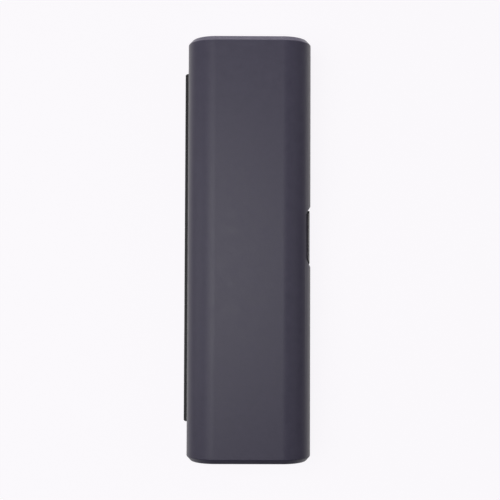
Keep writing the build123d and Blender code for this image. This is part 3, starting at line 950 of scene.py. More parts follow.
class BevelledBar(GeometryTool):
    """The rule of the shells: a round-cornered bar along Y whose ends are bevelled."""

    def __init__(self) -> None:
        """Builds the Geometry Nodes tree, which makes the bar along Z and lays it down."""
        super().__init__(
            "bevelled_bar",
            {
                "Width": 0.0704,
                "Height": 0.044,
                "Length": 0.24,
                "Corner Radius": 0.0165,
                "Corner Steps": 36,
                "Bevel Run": 0.0026,
                "Bevel Inset": 0.0024,
            },
        )
        given = self.given
        outline = self.add(
            "GeometryNodeCurvePrimitiveQuadrilateral",
            {"Width": given["Width"], "Height": given["Height"]},
        )
        rounded = self.add(
            "GeometryNodeFilletCurve",
            {"Curve": outline.outputs[0], "Radius": given["Corner Radius"], "Count": given["Corner Steps"]},
            mode="POLY",
        )
        face = self.add("GeometryNodeFillCurve", {"Curve": rounded.outputs[0]}, mode="NGONS").outputs[0]
        half = self.math("MULTIPLY", given["Length"], 0.5)
        bevel_start = self.math("SUBTRACT", half, given["Bevel Run"])
        middle = self.math("MULTIPLY", bevel_start, 2.0)
        bar, top = face, {}
        for run in (given["Bevel Run"], middle, given["Bevel Run"]):
            inputs = {"Mesh": bar, "Offset": self.xyz(Z=run), "Offset Scale": 1.0, "Individual": False}
            step = self.add("GeometryNodeExtrudeMesh", inputs | top, mode="FACES")
            bar, top = step.outputs["Mesh"], {"Selection": step.outputs["Top"]}
        foot = self.add("GeometryNodeFlipFaces", {"Mesh": face}).outputs[0]
        closed = self.add(
            "GeometryNodeMergeByDistance", {"Geometry": self.joined(bar, foot), "Distance": EPSILON}
        )
        narrowed = self.add(
            "GeometryNodeSetPosition",
            {
                "Geometry": self.lowered(closed.outputs[0], half),
                "Selection": self.beyond(bevel_start),
                "Offset": self.inwards(),
            },
        )
        laid = self.add(
            "GeometryNodeTransform",
            {"Geometry": narrowed.outputs[0], "Rotation": (QUARTER_TURN, 0.0, 0.0)},
        )
        self.end(laid.outputs[0])

    def beyond(self, start: Socket) -> Socket:
        """Chooses the end sections.

        Args:
            start: Where the bevels start, from the middle.

        Returns:
            A socket that is true past that place, at either end.
        """
        position = self.add("GeometryNodeInputPosition").outputs[0]
        level = self.add("ShaderNodeSeparateXYZ", {0: position}).outputs["Z"]
        reach = self.math("ADD", start, EPSILON)
        return self.math("GREATER_THAN", self.math("ABSOLUTE", level), reach)

    def inwards(self) -> Socket:
        """Finds the step inwards, at right angles to the round-cornered outline.

        Returns:
            The step's socket.
        """
        position = self.add("GeometryNodeInputPosition").outputs[0]
        reach = {
            axis: self.math("SUBTRACT", self.math("MULTIPLY", size, 0.5), self.given["Corner Radius"])
            for axis, size in (("X", self.given["Width"]), ("Y", self.given["Height"]))
        }
        high = self.xyz(**reach, Z=1.0)
        low = self.vector("MULTIPLY", high, (-1.0, -1.0, -1.0))
        inner = self.vector("MAXIMUM", self.vector("MINIMUM", position, high), low)
        outward = self.vector("NORMALIZE", self.vector("SUBTRACT", position, inner))
        inset = self.math("MULTIPLY", self.given["Bevel Inset"], -1.0)
        step = self.add("ShaderNodeVectorMath", {0: outward, "Scale": inset}, operation="SCALE")
        return step.outputs[0]

    def closed_case(self, sizes: CaseSizes, inset: float) -> Piece:
        """Makes the closed case's bar, shrunk evenly.

        Args:
            sizes: The case's sizes.
            inset: How far inside the outer surface it lies.

        Returns:
            The bar.
        """
        bar = self.make(
            "bar",
            None,
            Width=2 * (sizes.half_width - inset),
            Height=sizes.height - 2 * inset,
            Length=2 * (sizes.half_length - inset),
            Corner_Radius=sizes.corner_radius - inset,
            Bevel_Run=sizes.bevel_run,
            Bevel_Inset=sizes.bevel_inset,
        )
        for vertex in bar.data.vertices:
            vertex.co.z += sizes.height / 2
        return bar


@dataclass
class OuterShells:
    """The matte outer shells of the base and the lid."""

    sizes: CaseSizes
    latch: LatchSizes
    hinge: HingeSizes
    finishes: Finishes
    rounding: float = 0.00028
    scoop_share: float = 0.35
    tip_reach: float = 0.001
    notch_overlap: float = 0.0001

    def build(self) -> None:
        """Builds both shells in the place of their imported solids."""
        rule = BevelledBar()
        for body, name in ((Body.BASE, "base_shell"), (Body.LID, "lid_shell")):
            shell = self.build_half(rule, body)
            shell.name = f"{name}_skin"
            place(shell, body, Slot.SHELL, self.finishes[Slot.SHELL], name)
            self.texture_and_shade_scoop(shell)

    def build_half(self, rule: BevelledBar, body: Body) -> Piece:
        """Carves one shell out of the closed bar.

        Args:
            rule: The rule of the bar.
            body: The half to make.

        Returns:
            The finished shell.
        """
        shell = rule.closed_case(self.sizes, 0.0)
        cavity = rule.closed_case(self.sizes, self.sizes.wall)
        carve(cavity, self.latch_pad())
        tools = [cavity, self.other_half(body), self.recess(), self.hinge_notch()]
        if body is Body.BASE:
            tools.append(self.window())
        for tool in tools:
            carve(shell, tool)
        tips = self.scoop_tips(shell)
        soften_edges(shell, self.rounding, share=lambda *ends: self.edge_share(tips, *ends))
        return shell

    def scoop_tips(self, shell: Piece) -> list[Vector]:
        """Finds the corners where the scoop runs out into the rounded side.

        Args:
            shell: A carved shell.

        Returns:
            Their places.
        """
        latch, sizes = self.latch, self.sizes
        on_end = []
        for vert in shell.data.vertices:
            run_in = latch.recess_end_slope * (sizes.half_width - vert.co.x)
            off = abs(vert.co.y - latch.middle) - latch.recess_length / 2 + run_in
            if vert.co.x > sizes.half_width - latch.pad_depth + EPSILON and abs(off) < EPSILON:
                on_end.append(vert.co.copy())
        farthest = max(abs(corner.z - sizes.parting) for corner in on_end)
        return [corner for corner in on_end if abs(corner.z - sizes.parting) > farthest - EPSILON]

    def edge_share(self, tips: Sequence[Vector], first: Vector, second: Vector) -> float:
        """How much of the usual rounding an edge of a shell gets.

        Args:
            tips: The scoop's corners, which stay sharp.
            first: One end of the edge.
            second: Its other end.

        Returns:
            The share: none at the tips or where the liner hides the edge, little in the scoop.
        """
        latch, ends = self.latch, (first, second)
        front, back = self.sizes.half_width, self.sizes.half_width - latch.pad_depth
        along = [abs(end.y - latch.middle) for end in ends]
        if any((end - tip).length < self.tip_reach for end in ends for tip in tips):
            return 0.0
        on_pad = all(abs(end.x - back) < EPSILON for end in ends)
        on_pad_end = all(abs(y - latch.pad_length / 2) < EPSILON for y in along)
        if on_pad or (on_pad_end and max(first.x, second.x) < front - EPSILON):
            return 0.0
        if all(self.on_inner_rim(end) for end in ends):
            return 0.0
        inside = max(along) < latch.recess_length / 2 + EPSILON
        in_scoop = inside and min(first.x, second.x) > back - EPSILON
        return self.scoop_share if in_scoop else 1.0

    def on_inner_rim(self, point: Vector) -> bool:
        """Whether a point lies on the inner side of a shell's rim.

        Args:
            point: The point.

        Returns:
            True where it does.
        """
        sizes = self.sizes
        level = min(abs(point.z - sizes.base_rim), abs(point.z - sizes.lid_rim)) < EPSILON
        across = abs(point.x) < sizes.half_width - sizes.wall + EPSILON
        return level and across and abs(point.y) < sizes.half_length - sizes.wall + EPSILON

    def texture_and_shade_scoop(self, shell: Piece) -> None:
        """Gives the scoop around the button its finely textured, rougher finish, whose darker tone is
        painted shade in the recess.

        Args:
            shell: A finished shell.
        """
        shell.data.materials.append(self.finishes.scoop)
        half = self.latch.recess_length / 2
        facet = self.sizes.half_width - self.latch.recess_depth
        slope = math.cos(math.atan(self.latch.recess_end_slope))
        for polygon in shell.data.polygons:
            inside = abs(polygon.center.y - self.latch.middle) < half
            under = polygon.center.x < facet + self.latch.recess_depth - 2 * EPSILON
            outward = polygon.normal.x > slope and polygon.center.x > facet - 2 * self.sizes.wall
            on_facet = abs(polygon.normal.z) < math.sin(2 * self.latch.recess_tilt)
            if inside and under and outward and on_facet:
                polygon.material_index = 1

    def latch_pad(self) -> Piece:
        """The thicker wall behind the recess, left out of the cavity.

        Returns:
            The carving tool.
        """
        sizes, latch = self.sizes, self.latch
        half = latch.pad_length / 2
        return block(
            (sizes.half_width - latch.pad_depth, latch.middle - half, -sizes.height),
            (2 * sizes.half_width, latch.middle + half, 2 * sizes.height),
        )

    def other_half(self, body: Body) -> Piece:
        """The space on the other side of the parting line.

        Args:
            body: The half that is made.

        Returns:
            The carving tool.
        """
        sizes = self.sizes
        low, high = sizes.base_rim, 2 * sizes.height
        if body is Body.LID:
            low, high = -sizes.height, sizes.lid_rim
        return block((-FAR, -FAR, low), (FAR, FAR, high))

    def recess(self) -> Piece:
        """The scoop around the button: two leaning facets with sloped ends.

        Returns:
            The carving tool.
        """
        sizes, latch = self.sizes, self.latch
        far, facet = 2 * sizes.half_width, sizes.half_width - latch.recess_depth
        above, below = sizes.parting + sizes.height, sizes.parting - sizes.height
        leaned = facet - sizes.height * math.tan(latch.recess_tilt)
        scoop = prism(
            [(facet, sizes.parting), (leaned, above), (far, above), (far, below), (leaned, below)],
            Axis.Y,
            latch.middle - latch.recess_length,
            latch.middle + latch.recess_length,
        )
        tip = sizes.half_width - latch.recess_length / 2 / latch.recess_end_slope
        spread = (far - tip) * latch.recess_end_slope
        ends = prism(
            [(tip, latch.middle), (far, latch.middle + spread), (far, latch.middle - spread)],
            Axis.Z,
            -2 * sizes.height,
            3 * sizes.height,
        )
        carve(scoop, ends, Cut.KEEP)
        return scoop

    def hinge_notch(self) -> Piece:
        """The slot along the left side that the hinge barrel lies in.

        Returns:
            The carving tool.
        """
        low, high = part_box("hinge_pin")
        reach = self.hinge.radius + self.hinge.clearance
        end = self.hinge.pin_recess + self.hinge.clearance
        inside = self.sizes.half_width - self.sizes.wall - self.notch_overlap
        return block(
            (-FAR, low.y - end, self.sizes.parting - reach),
            (-inside, high.y + end, self.sizes.parting + reach),
        )

    def window(self) -> Piece:
        """The opening that the button stands in.

        Returns:
            The carving tool.
        """
        latch = self.latch
        low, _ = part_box("latch_button")
        half = latch.window_length / 2
        return block(
            (0.0, latch.middle - half, low.z - latch.window_gap),
            (FAR, latch.middle + half, FAR),
        )


# ---- Hinge ----


class FlatWasher(GeometryTool):
    """The rule of a flat washer about an axis along Y, set at each given point."""

    def __init__(self) -> None:
        """Builds the Geometry Nodes tree."""
        super().__init__("washer", {"Radius": 0.00174, "Bore": 0.00084, "Thickness": 0.00026, "Steps": 64})
        radius, bore = self.given["Radius"], self.given["Bore"]
        path = self.add(
            "GeometryNodeCurvePrimitiveCircle",
            {
                "Resolution": self.given["Steps"],
                "Radius": self.math("MULTIPLY", self.math("ADD", radius, bore), 0.5),
            },
        )
        section = self.add(
            "GeometryNodeCurvePrimitiveQuadrilateral",
            {"Width": self.math("SUBTRACT", radius, bore), "Height": self.given["Thickness"]},
        )
        ring = self.add(
            "GeometryNodeCurveToMesh",
            {"Curve": path.outputs[0], "Profile Curve": section.outputs[0]},
        )
        self.end(self.on_points(ring.outputs[0], (QUARTER_TURN, 0.0, 0.0)))


@dataclass
class HingeWashers:
    """The thin black washers that fill the gaps between the hinge's knuckles."""

    hinge: HingeSizes
    finishes: Finishes
    play: float = 0.00002
    inset: float = 0.00006

    def build(self) -> None:
        """Builds the washers, one in each gap."""
        hinge, finish = self.hinge, self.finishes[Slot.MECHANISM]
        low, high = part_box("hinge_pin")
        middle = (low + high) / 2
        length = high.y - low.y + 2 * hinge.pin_recess
        pitch = (length + hinge.gap) / hinge.knuckles
        first = low.y - hinge.pin_recess + pitch - hinge.gap / 2
        washers = FlatWasher().make(
            "hinge_washers",
            finish,
            points=[(middle.x, first + i * pitch, middle.z) for i in range(hinge.knuckles - 1)],
            Radius=hinge.radius - self.inset,
            Bore=(high.z - low.z) / 2 + self.play,
            Thickness=hinge.gap - 2 * self.play,
        )
        place(washers, Body.BASE, Slot.MECHANISM, finish)


# ---- Latch ----


@dataclass
class PushButton:
    """The push button: a dished grey plate in a black carrier that shows at both ends."""

    sizes: LatchSizes
    finishes: Finishes
    columns: int = 96
    rows: int = 28
    nose_radius: float = 0.0005
    nose_steps: int = 8
    rounding: float = 0.00012
    step: float = 0.00012
    seam: float = 0.00006
    post_radius: float = 0.00145
    post_depth: float = 0.0015
    post_reach: float = 0.006
    post_height: float = 0.0157
    post_steps: int = 40

    def build(self) -> None:
        """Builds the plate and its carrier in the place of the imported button."""
        low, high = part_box("latch_button")
        plate = self.build_plate(low, high)
        place(plate, Body.LATCH, Slot.BUTTON, self.finishes[Slot.BUTTON], "latch_button")
        carrier = self.build_carrier(low, high)
        place(carrier, Body.LATCH, Slot.MECHANISM, self.finishes[Slot.MECHANISM])

    def half_length(self, front: float, x: float) -> float:
        """Half the button's length at x, as its ends flare towards its front."""
        return self.sizes.button_length / 2 - self.sizes.button_end_slope * (front - x)

    def build_plate(self, low: Vector, high: Vector) -> Piece:
        """Builds the grey plate that the finger presses.

        Args:
            low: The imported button's lowest corner.
            high: Its highest corner.

        Returns:
            The plate.
        """
        foot = high.x - self.sizes.plate_thickness
        inset = self.sizes.plate_inset
        foot_half = self.half_length(high.x, foot) - inset
        profile = self.profile((high.z - low.z) / 2)
        middle_z = (low.z + high.z) / 2
        verts: list[Point] = []
        for i in range(self.columns + 1):
            for drop, z in profile:
                half = self.half_length(high.x, high.x - drop) - inset
                y = half * (2 * i / self.columns - 1)
                verts.append((high.x - drop - self.dish(y, z), self.sizes.middle + y, middle_z + z))
        stride = len(profile)
        faces: list[Sequence[int]] = []
        for i in range(self.columns):
            for j in range(stride - 1):
                corner = i * stride + j
                faces.append((corner, corner + stride, corner + stride + 1, corner + 1))
        rim = [i * stride for i in range(self.columns + 1)]
        rim += [self.columns * stride + j for j in range(1, stride)]
        rim += [i * stride + stride - 1 for i in range(self.columns - 1, -1, -1)]
        rim += list(range(stride - 2, 0, -1))
        back = []
        for index in rim:
            y = foot_half * (2 * (index // stride) / self.columns - 1)
            verts.append((foot, self.sizes.middle + y, verts[index][2]))
            back.append(len(verts) - 1)
        for k, index in enumerate(rim):
            after = (k + 1) % len(rim)
            faces.append((index, rim[after], back[after], back[k]))
        faces.append(back)
        plate = solid("latch_button_plate", verts, faces)
        soften_edges(plate, self.rounding / 2)
        return plate

    def profile(self, half_height: float) -> list[Pair]:
        """The plate's front seen from its end, with a rounded nose at the top and the bottom.

        Args:
            half_height: Half the plate's height.

        Returns:
            How far back each row lies and its height from the middle, from the bottom up.
        """
        flat, radius = half_height - self.nose_radius, self.nose_radius
        nose = []
        for k in range(1, self.nose_steps + 1):
            angle = QUARTER_TURN * k / self.nose_steps
            nose.append((radius * (1 - math.cos(angle)), flat + radius * math.sin(angle)))
        face = [(0.0, flat * (2 * j / self.rows - 1)) for j in range(self.rows + 1)]
        return [(drop, -z) for drop, z in reversed(nose)] + face + nose

    def post_hole(self, back: float, side: int) -> Piece:
        """A hole in the carrier's back that one of the slider's posts sits in.

        Args:
            back: Where the carrier's back is.
            side: Which of the two holes, -1 or 1.

        Returns:
            The carving tool.
        """
        radius, centre = self.post_radius, self.sizes.middle + side * self.post_reach
        circle = []
        for k in range(self.post_steps):
            turn = 2 * math.pi * k / self.post_steps
            circle.append((centre + radius * math.cos(turn), self.post_height + radius * math.sin(turn)))
        return prism(circle, Axis.X, back - self.post_depth, back + self.post_depth)

    def build_carrier(self, low: Vector, high: Vector) -> Piece:
        """Builds the black carrier, whose straight-ended ears frame the plate's slanted ends.

        Args:
            low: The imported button's lowest corner.
            high: Its highest corner.

        Returns:
            The carrier, with a pocket for the plate and holes for the slider's posts.
        """
        middle, front = self.sizes.middle, high.x - self.step
        ear_back = high.x - self.sizes.ear_depth
        ear_half = self.sizes.button_length / 2 - self.seam
        floor = high.x - self.sizes.plate_thickness - self.seam
        inset = self.sizes.plate_inset - self.seam
        upper = [
            (low.x, self.half_length(high.x, low.x)),
            (ear_back, self.half_length(high.x, ear_back)),
            (ear_back, ear_half),
            (front, ear_half),
            (front, self.half_length(high.x, front) - inset),
            (floor, self.half_length(high.x, floor) - inset),
        ]
        lower = [(x, -y) for x, y in reversed(upper)]
        outline = [(x, middle + y) for x, y in upper + lower]
        carrier = prism(outline, Axis.Z, low.z + self.step, high.z - self.step)
        for side in (-1, 1):
            carve(carrier, self.post_hole(low.x, side))
        soften_edges(carrier, self.rounding)
        carrier.name = "latch_button_carrier"
        return carrier

    def dish(self, y: float, z: float) -> float:
        """How deep the finger dish is, at y and z from the button's middle."""
        across = (y / self.sizes.dish_half_length) ** 2 + (z / self.sizes.dish_half_height) ** 2
        return self.sizes.dish_depth * max(1 - across, 0.0)


class CoilSpring(GeometryTool):
    """The rule of a compression spring along X, with closed end turns.

    The even rise is the share of the length that all its turns climb alike. The open turns
    climb the rest.
    """

    EVEN_RISE = 0.30
    WIRE_STEPS = 14

    def __init__(self) -> None:
        """Builds the Geometry Nodes tree."""
        super().__init__(
            "coil_spring",
            {
                "Length": 0.0082,
                "Turns": 7.0,
                "Radius": 0.0019,
                "Wire Radius": 0.0003,
                "Closed Share": 0.16,
                "Steps": 240,
            },
        )
        given = self.given
        spiral = self.add(
            "GeometryNodeCurveSpiral",
            {
                "Resolution": given["Steps"],
                "Rotations": given["Turns"],
                "Start Radius": given["Radius"],
                "End Radius": given["Radius"],
                "Height": given["Length"],
            },
        )
        position = self.add("GeometryNodeInputPosition").outputs[0]
        around = self.add("ShaderNodeSeparateXYZ", {0: position}).outputs
        laid = self.xyz(X=self.level(), Y=around["X"], Z=around["Y"])
        turned = self.add("GeometryNodeSetPosition", {"Geometry": spiral.outputs[0], "Position": laid})
        wire = self.add(
            "GeometryNodeCurvePrimitiveCircle",
            {"Resolution": self.WIRE_STEPS, "Radius": given["Wire Radius"]},
        )
        coil = self.add(
            "GeometryNodeCurveToMesh",
            {"Curve": turned.outputs[0], "Profile Curve": wire.outputs[0], "Fill Caps": True},
        )
        smooth = self.add("GeometryNodeSetShadeSmooth", {"Geometry": coil.outputs[0]})
        self.end(self.on_points(smooth.outputs[0]))

    def level(self) -> Socket:
        """How far along the spring each point of its wire lies.

        Returns:
            The distance's socket. It rises little in the closed turns at either end.
        """
        along = self.add("GeometryNodeSplineParameter").outputs["Factor"]
        closed = self.given["Closed Share"]
        rise = self.mapped(along, (closed, self.math("SUBTRACT", 1.0, closed)))
        even = self.math("MULTIPLY", self.math("SUBTRACT", along, 0.5), self.EVEN_RISE)
        open_turns = self.math("MULTIPLY_ADD", rise, 1.0 - self.EVEN_RISE, self.EVEN_RISE / 2)
        return self.math("MULTIPLY", self.math("ADD", open_turns, even), self.given["Length"])


@dataclass
class LatchSprings:
    """The two springs that hold the button out."""

    finishes: Finishes
    seat: float = 0.0204
    travel: float = 0.002
    wire_radius: float = 0.0003
    radius: float = 0.0019
    turns: float = 7.0

    def build(self) -> None:
        """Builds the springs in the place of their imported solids."""
        rule = CoilSpring()
        for name in ("latch_spring_lower", "latch_spring_upper"):
            low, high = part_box(name)
            middle = (low + high) / 2
            spring = rule.make(
                f"{name}_coil",
                self.finishes[Slot.SPRING],
                points=[(low.x + self.wire_radius, middle.y, middle.z)],
                Length=high.x - low.x - 2 * self.wire_radius,
                Turns=self.turns,
                Radius=self.radius,
                Wire_Radius=self.wire_radius,
            )
            place(spring, Body.BASE, Slot.SPRING, self.finishes[Slot.SPRING], name)
            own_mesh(spring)


# ---- Screws ----


class CountersunkScrew(GeometryTool):
    """The rule of a self-tapping screw: head, cross recess, shank and thread.

    The tip's length is a share of the shank's radius and its end of the core's, the ridge
    is a share of the thread's height, and the first turn is so many pitches below the head.
    """

    HEAD_STEPS = 40
    SHANK_STEPS = 28
    THREAD_STEPS = 22
    TIP_LENGTH = 0.9
    TIP_RADIUS = 0.45
    RIDGE_SHARE = 0.98
    FIRST_TURN = 1.2

    def __init__(self) -> None:
        """Builds the Geometry Nodes tree, with the head's top at the origin."""
        super().__init__(
            "countersunk_screw",
            {
                "Head Radius": 0.002,
                "Shank Radius": 0.0011,
                "Core Radius": 0.00085,
                "Length": 0.008,
                "Drive Width": 0.0005,
                "Drive Depth": 0.0005,
                "Thread Pitch": 0.0009,
                "Turn Over": False,
                "Seed": 3,
            },
        )
        given = self.given
        self.head_height = self.math("SUBTRACT", given["Head Radius"], given["Shank Radius"])
        screw = self.joined(self.head(), self.shank(), self.thread())
        limits = {"Seed": given["Seed"], 2: 0.0, 3: math.pi}
        angle = self.add("FunctionNodeRandomValue", limits, data_type="FLOAT").outputs[1]
        turn = self.xyz(X=self.math("MULTIPLY", given["Turn Over"], math.pi), Z=angle)
        flat = self.add("GeometryNodeSetShadeSmooth", {"Geometry": screw, "Shade Smooth": False})
        self.end(self.on_points(flat.outputs[0], turn))

    def head(self) -> Socket:
        """The countersunk head with its cross recess.

        Returns:
            The head's mesh.
        """
        given = self.given
        cone = self.add(
            "GeometryNodeMeshCone",
            {
                "Vertices": self.HEAD_STEPS,
                "Radius Top": given["Head Radius"],
                "Radius Bottom": given["Shank Radius"],
                "Depth": self.head_height,
            },
        )
        head = self.lowered(cone.outputs["Mesh"], self.head_height)
        width, span = given["Drive Width"], self.math("MULTIPLY", given["Shank Radius"], 2.0)
        depth = self.math("MULTIPLY", given["Drive Depth"], 2.0)
        cross = self.add("GeometryNodeMeshBoolean", operation="UNION", solver="EXACT")
        for along, across in ((span, width), (width, span)):
            slot = self.add("GeometryNodeMeshCube", {"Size": self.xyz(X=along, Y=across, Z=depth)})
            self.tree.links.new(slot.outputs["Mesh"], cross.inputs["Mesh 2"])
        cut = self.add(
            "GeometryNodeMeshBoolean",
            {"Mesh 1": head, "Mesh 2": cross.outputs["Mesh"]},
            operation="DIFFERENCE",
            solver="EXACT",
        )
        return cut.outputs["Mesh"]

    def shank(self) -> Socket:
        """The shank's core, from under the head to its blunt tip.

        Returns:
            The shank's mesh.
        """
        core_radius, length = self.given["Core Radius"], self.given["Length"]
        tip_length = self.math("MULTIPLY", self.given["Shank Radius"], self.TIP_LENGTH)
        straight = self.math("SUBTRACT", self.math("SUBTRACT", length, self.head_height), tip_length)
        core = self.add(
            "GeometryNodeMeshCylinder",
            {"Vertices": self.SHANK_STEPS, "Radius": core_radius, "Depth": straight},
        )
        tip = self.add(
            "GeometryNodeMeshCone",
            {
                "Vertices": self.SHANK_STEPS,
                "Radius Top": core_radius,
                "Radius Bottom": self.math("MULTIPLY", core_radius, self.TIP_RADIUS),
                "Depth": tip_length,
            },
        )
        middle = self.math("MULTIPLY_ADD", straight, 0.5, self.head_height)
        lowered_core = self.lowered(core.outputs["Mesh"], middle)
        return self.joined(lowered_core, self.lowered(tip.outputs["Mesh"], length))

    def thread(self) -> Socket:
        """The thread, a sharp ridge wound around the core.

        Returns:
            The thread's mesh.
        """
        given = self.given
        clear = self.math("MULTIPLY", given["Thread Pitch"], self.FIRST_TURN)
        usable = self.math("SUBTRACT", given["Length"], self.math("ADD", self.head_height, clear))
        usable = self.math("SUBTRACT", usable, given["Shank Radius"])
        ridge = self.math("SUBTRACT", given["Shank Radius"], given["Core Radius"])
        spiral = self.add(
            "GeometryNodeCurveSpiral",
            {
                "Resolution": self.THREAD_STEPS,
                "Rotations": self.math("DIVIDE", usable, given["Thread Pitch"]),
                "Start Radius": given["Core Radius"],
                "End Radius": given["Core Radius"],
                "Height": usable,
            },
        )
        section = self.add(
            "GeometryNodeCurvePrimitiveCircle",
            {"Resolution": 4, "Radius": self.math("MULTIPLY", ridge, self.RIDGE_SHARE)},
        )
        wound = self.add(
            "GeometryNodeCurveToMesh",
            {"Curve": spiral.outputs[0], "Profile Curve": section.outputs[0], "Fill Caps": True},
        )
        end = self.math("ADD", self.head_height, self.math("ADD", usable, clear))
        return self.lowered(wound.outputs[0], end)


@dataclass
class Screws:
    """All the screws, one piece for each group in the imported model."""

    finishes: Finishes
    head_span: float = 0.0044

    def build(self, nodes: Mapping[str, Piece]) -> None:
        """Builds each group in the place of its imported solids.

        Args:
            nodes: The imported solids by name.
        """
        rule = CountersunkScrew()
        groups = (
            ("base_tray_screws", Body.BASE, False, 5),
            ("latch_housing_screws", Body.BASE, False, 11),
            ("lid_liner_screws", Body.LID, True, 7),
            ("striker_screws", Body.LID, True, 13),
        )
        for name, body, turned, seed in groups:
            low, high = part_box(name)
            screws = rule.make(
                f"{name}_set",
                self.finishes[Slot.SCREW],
                points=self.heads(nodes[name], turned),
                Length=high.z - low.z,
                Turn_Over=turned,
                Seed=seed,
            )
            place(screws, body, Slot.SCREW, self.finishes[Slot.SCREW], name)

    def heads(self, node: Piece, turned: bool) -> list[Point]:
        """Finds the middle of each screw's head in a packed group.

        Args:
            node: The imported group.
            turned: Whether the heads are at the low end.

        Returns:
            The middles, one for each screw.
        """
        corners = [vertex.co for vertex in node.data.vertices]
        levels = [corner.z for corner in corners]
        level = min(levels) if turned else max(levels)
        rims: list[list[Vector]] = []
        for corner in corners:
            if abs(corner.z - level) >= EPSILON:
                continue
            for rim in rims:
                if (rim[0] - corner).length < self.head_span:
                    rim.append(corner)
                    break
            else:
                rims.append([corner])
        places = []
        for rim in rims:
            xs, ys = [corner.x for corner in rim], [corner.y for corner in rim]
            places.append(((min(xs) + max(xs)) / 2, (min(ys) + max(ys)) / 2, level))
        return places


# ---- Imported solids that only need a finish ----


@dataclass
class Interior:
    """The tray, the liner, the rests and the latch's inner parts, as packed."""

    finishes: Finishes

    def build(self, nodes: Mapping[str, Piece]) -> None:
        """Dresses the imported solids.

        Args:
            nodes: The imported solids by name.
        """
        groups = {
            Slot.LINER: ["base_tray", "lid_liner"],
            Slot.MECHANISM: ["latch_housing", "latch_slider"],
            Slot.RUBBER: [
                "handle_saddle_lower",
                "handle_saddle_upper",
                "lid_pad_lower",
                "lid_pad_upper",
                "head_clips",
                "lid_head_pads",
            ],
            Slot.SILICONE: ["lid_bumpers"],
            Slot.PIN: ["hinge_pin"],
            Slot.STRIKER: ["striker_plate"],
        }
        for slot, names in groups.items():
            for name in names:
                data = nodes[name].data
                data.materials.clear()
                data.materials.append(self.finishes[slot])
                LOG.info("%s: packed solid, dressed with %s", name, self.finishes[slot].name)


# ---- Studio ----


@dataclass(frozen=True)
class Softbox:
    """One soft studio light, aimed at a point."""

    name: str
    place: Point
    size: Pair
    power: float
    target: Point = (0.0, 0.0, 0.02)
    colour: Point = (1.0, 1.0, 1.0)
    lights_floor: bool = True
    in_gloss: bool = True

    def build(self, spared: bpy.types.Collection) -> None:
        """Makes the light.

        Args:
            spared: A collection whose link states leave the floor out.
        """
        data = bpy.data.lights.new(self.name, "AREA")
        data.shape = "RECTANGLE"
        data.size, data.size_y = self.size
        data.energy = self.power
        data.color = self.colour
        light = bpy.data.objects.new(self.name, data)
        light.location = self.place
        light.rotation_mode = "QUATERNION"
        light.rotation_quaternion = (Vector(self.target) - Vector(self.place)).to_track_quat("-Z", "Y")
        light.visible_camera = False
        light.visible_glossy = self.in_gloss
        if not self.lights_floor:
            light.light_linking.receiver_collection = spared
        bpy.context.scene.collection.objects.link(light)


@dataclass(frozen=True)
class PhotoCamera:
    """The camera above the lid, where the photograph was taken from."""

    lens: float = 70.44
    sensor: float = 36.0
    place: Point = (-0.0021, -0.01897, 0.5891)
    tilt: float = math.radians(1.90)
    lean: float = math.radians(-0.28)
    roll: float = math.radians(0.21)
    nearest: float = 0.01
    farthest: float = 20.0

    def build(self) -> None:
        """Makes the camera and gives it to the scene."""
        data = bpy.data.cameras.new("photo_camera")
        data.lens = self.lens
        data.sensor_width = self.sensor
        data.sensor_fit = "AUTO"
        data.clip_start = self.nearest
        data.clip_end = self.farthest
        camera = bpy.data.objects.new("photo_camera", data)
        camera.location = self.place
        camera.rotation_euler = (self.tilt, self.lean, self.roll)
        bpy.context.scene.collection.objects.link(camera)
        bpy.context.scene.camera = camera


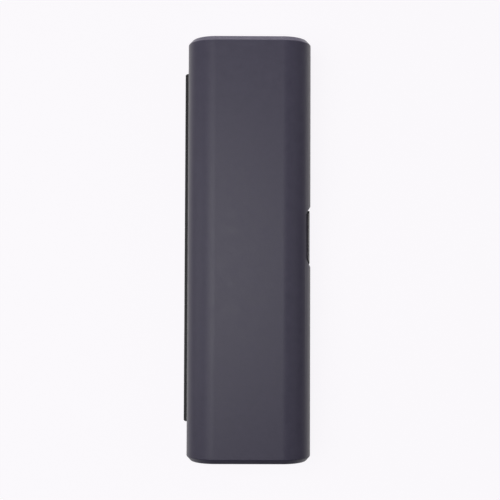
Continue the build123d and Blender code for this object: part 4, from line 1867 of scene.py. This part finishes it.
@dataclass
class Studio:
    """The pale floor, the softboxes, the room's dim light and the camera."""

    floor_size: float = 8.0
    floor_drop: float = 0.0001
    room_light: float = 0.03
    backdrop: Colour = (0.955, 0.935, 0.965, 1.0)
    camera: PhotoCamera = PhotoCamera()
    lights: tuple[Softbox, ...] = (
        Softbox("high_left", (-0.4, 0.0, 1.1), size=(0.6, 0.6), power=2.4, target=(0.0, 0.0, 0.0)),
        Softbox("over_lid", (-0.1, 0.0, 0.75), size=(0.3, 0.3), power=0.95, target=(0.0, 0.0, 0.0)),
        Softbox("left_fill", (-0.8, 0.0, 0.8), size=(0.6, 0.8), power=0.62),
        Softbox("left_low", (-1.2, 0.0, 0.35), size=(0.5, 1.0), power=2.3, lights_floor=False),
        Softbox("right_fill", (0.8, 0.0, 0.8), size=(0.6, 0.8), power=0.95),
        Softbox("upper_end", (0.0, 1.2, 0.3), size=(1.8, 0.5), power=8.0, lights_floor=False),
        Softbox(
            "upper_wash",
            (0.0, 1.2, 0.2),
            size=(1.0, 0.36),
            power=20.0,
            colour=(1.0, 0.97, 0.80),
            lights_floor=False,
            in_gloss=False,
        ),
    )

    def build(self) -> None:
        """Sets the studio up."""
        half = self.floor_size / 2
        corners = ((-half, -half), (half, -half), (half, half), (-half, half))
        floor = solid("floor", [(x, y, -self.floor_drop) for x, y in corners], [(0, 1, 2, 3)])
        floor.data.materials.append(PaleFloor().build())
        spared = bpy.data.collections.new("all_but_the_floor")
        spared.objects.link(floor)
        spared.collection_objects[0].light_linking.link_state = "EXCLUDE"
        for light in self.lights:
            light.build(spared)
        self.camera.build()
        self.light_room()
        bpy.context.scene.view_settings.view_transform = "Standard"

    def light_room(self) -> None:
        """Lights the room dimly, behind a backdrop as pale as the floor."""
        world = bpy.data.worlds.new("room")
        world.use_nodes = True
        world.node_tree.nodes.clear()
        graph = Graph(world.node_tree)
        seen = graph.add("ShaderNodeLightPath").outputs["Is Camera Ray"]
        lights = [
            graph.add("ShaderNodeBackground", {"Color": colour, "Strength": strength}).outputs[0]
            for colour, strength in (((1.0, 1.0, 1.0, 1.0), self.room_light), (self.backdrop, 1.0))
        ]
        both = graph.add("ShaderNodeMixShader", {0: seen, 1: lights[0], 2: lights[1]})
        graph.add("ShaderNodeOutputWorld", {"Surface": both.outputs[0]})
        bpy.context.scene.world = world


def main() -> None:
    """Builds the case's pieces in order, then the studio."""
    logging.basicConfig(level=logging.INFO, format="%(name)s: %(message)s")
    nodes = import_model()["nodes"]
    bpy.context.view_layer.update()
    latch, hinge, finishes = LatchSizes(), HingeSizes(), Finishes()
    OuterShells(CaseSizes.from_frame(), latch, hinge, finishes).build()
    HingeWashers(hinge, finishes).build()
    PushButton(latch, finishes).build()
    LatchSprings(finishes).build()
    Screws(finishes).build(nodes)
    Interior(finishes).build(nodes)
    Studio().build()


if __name__ == "__main__":
    main()
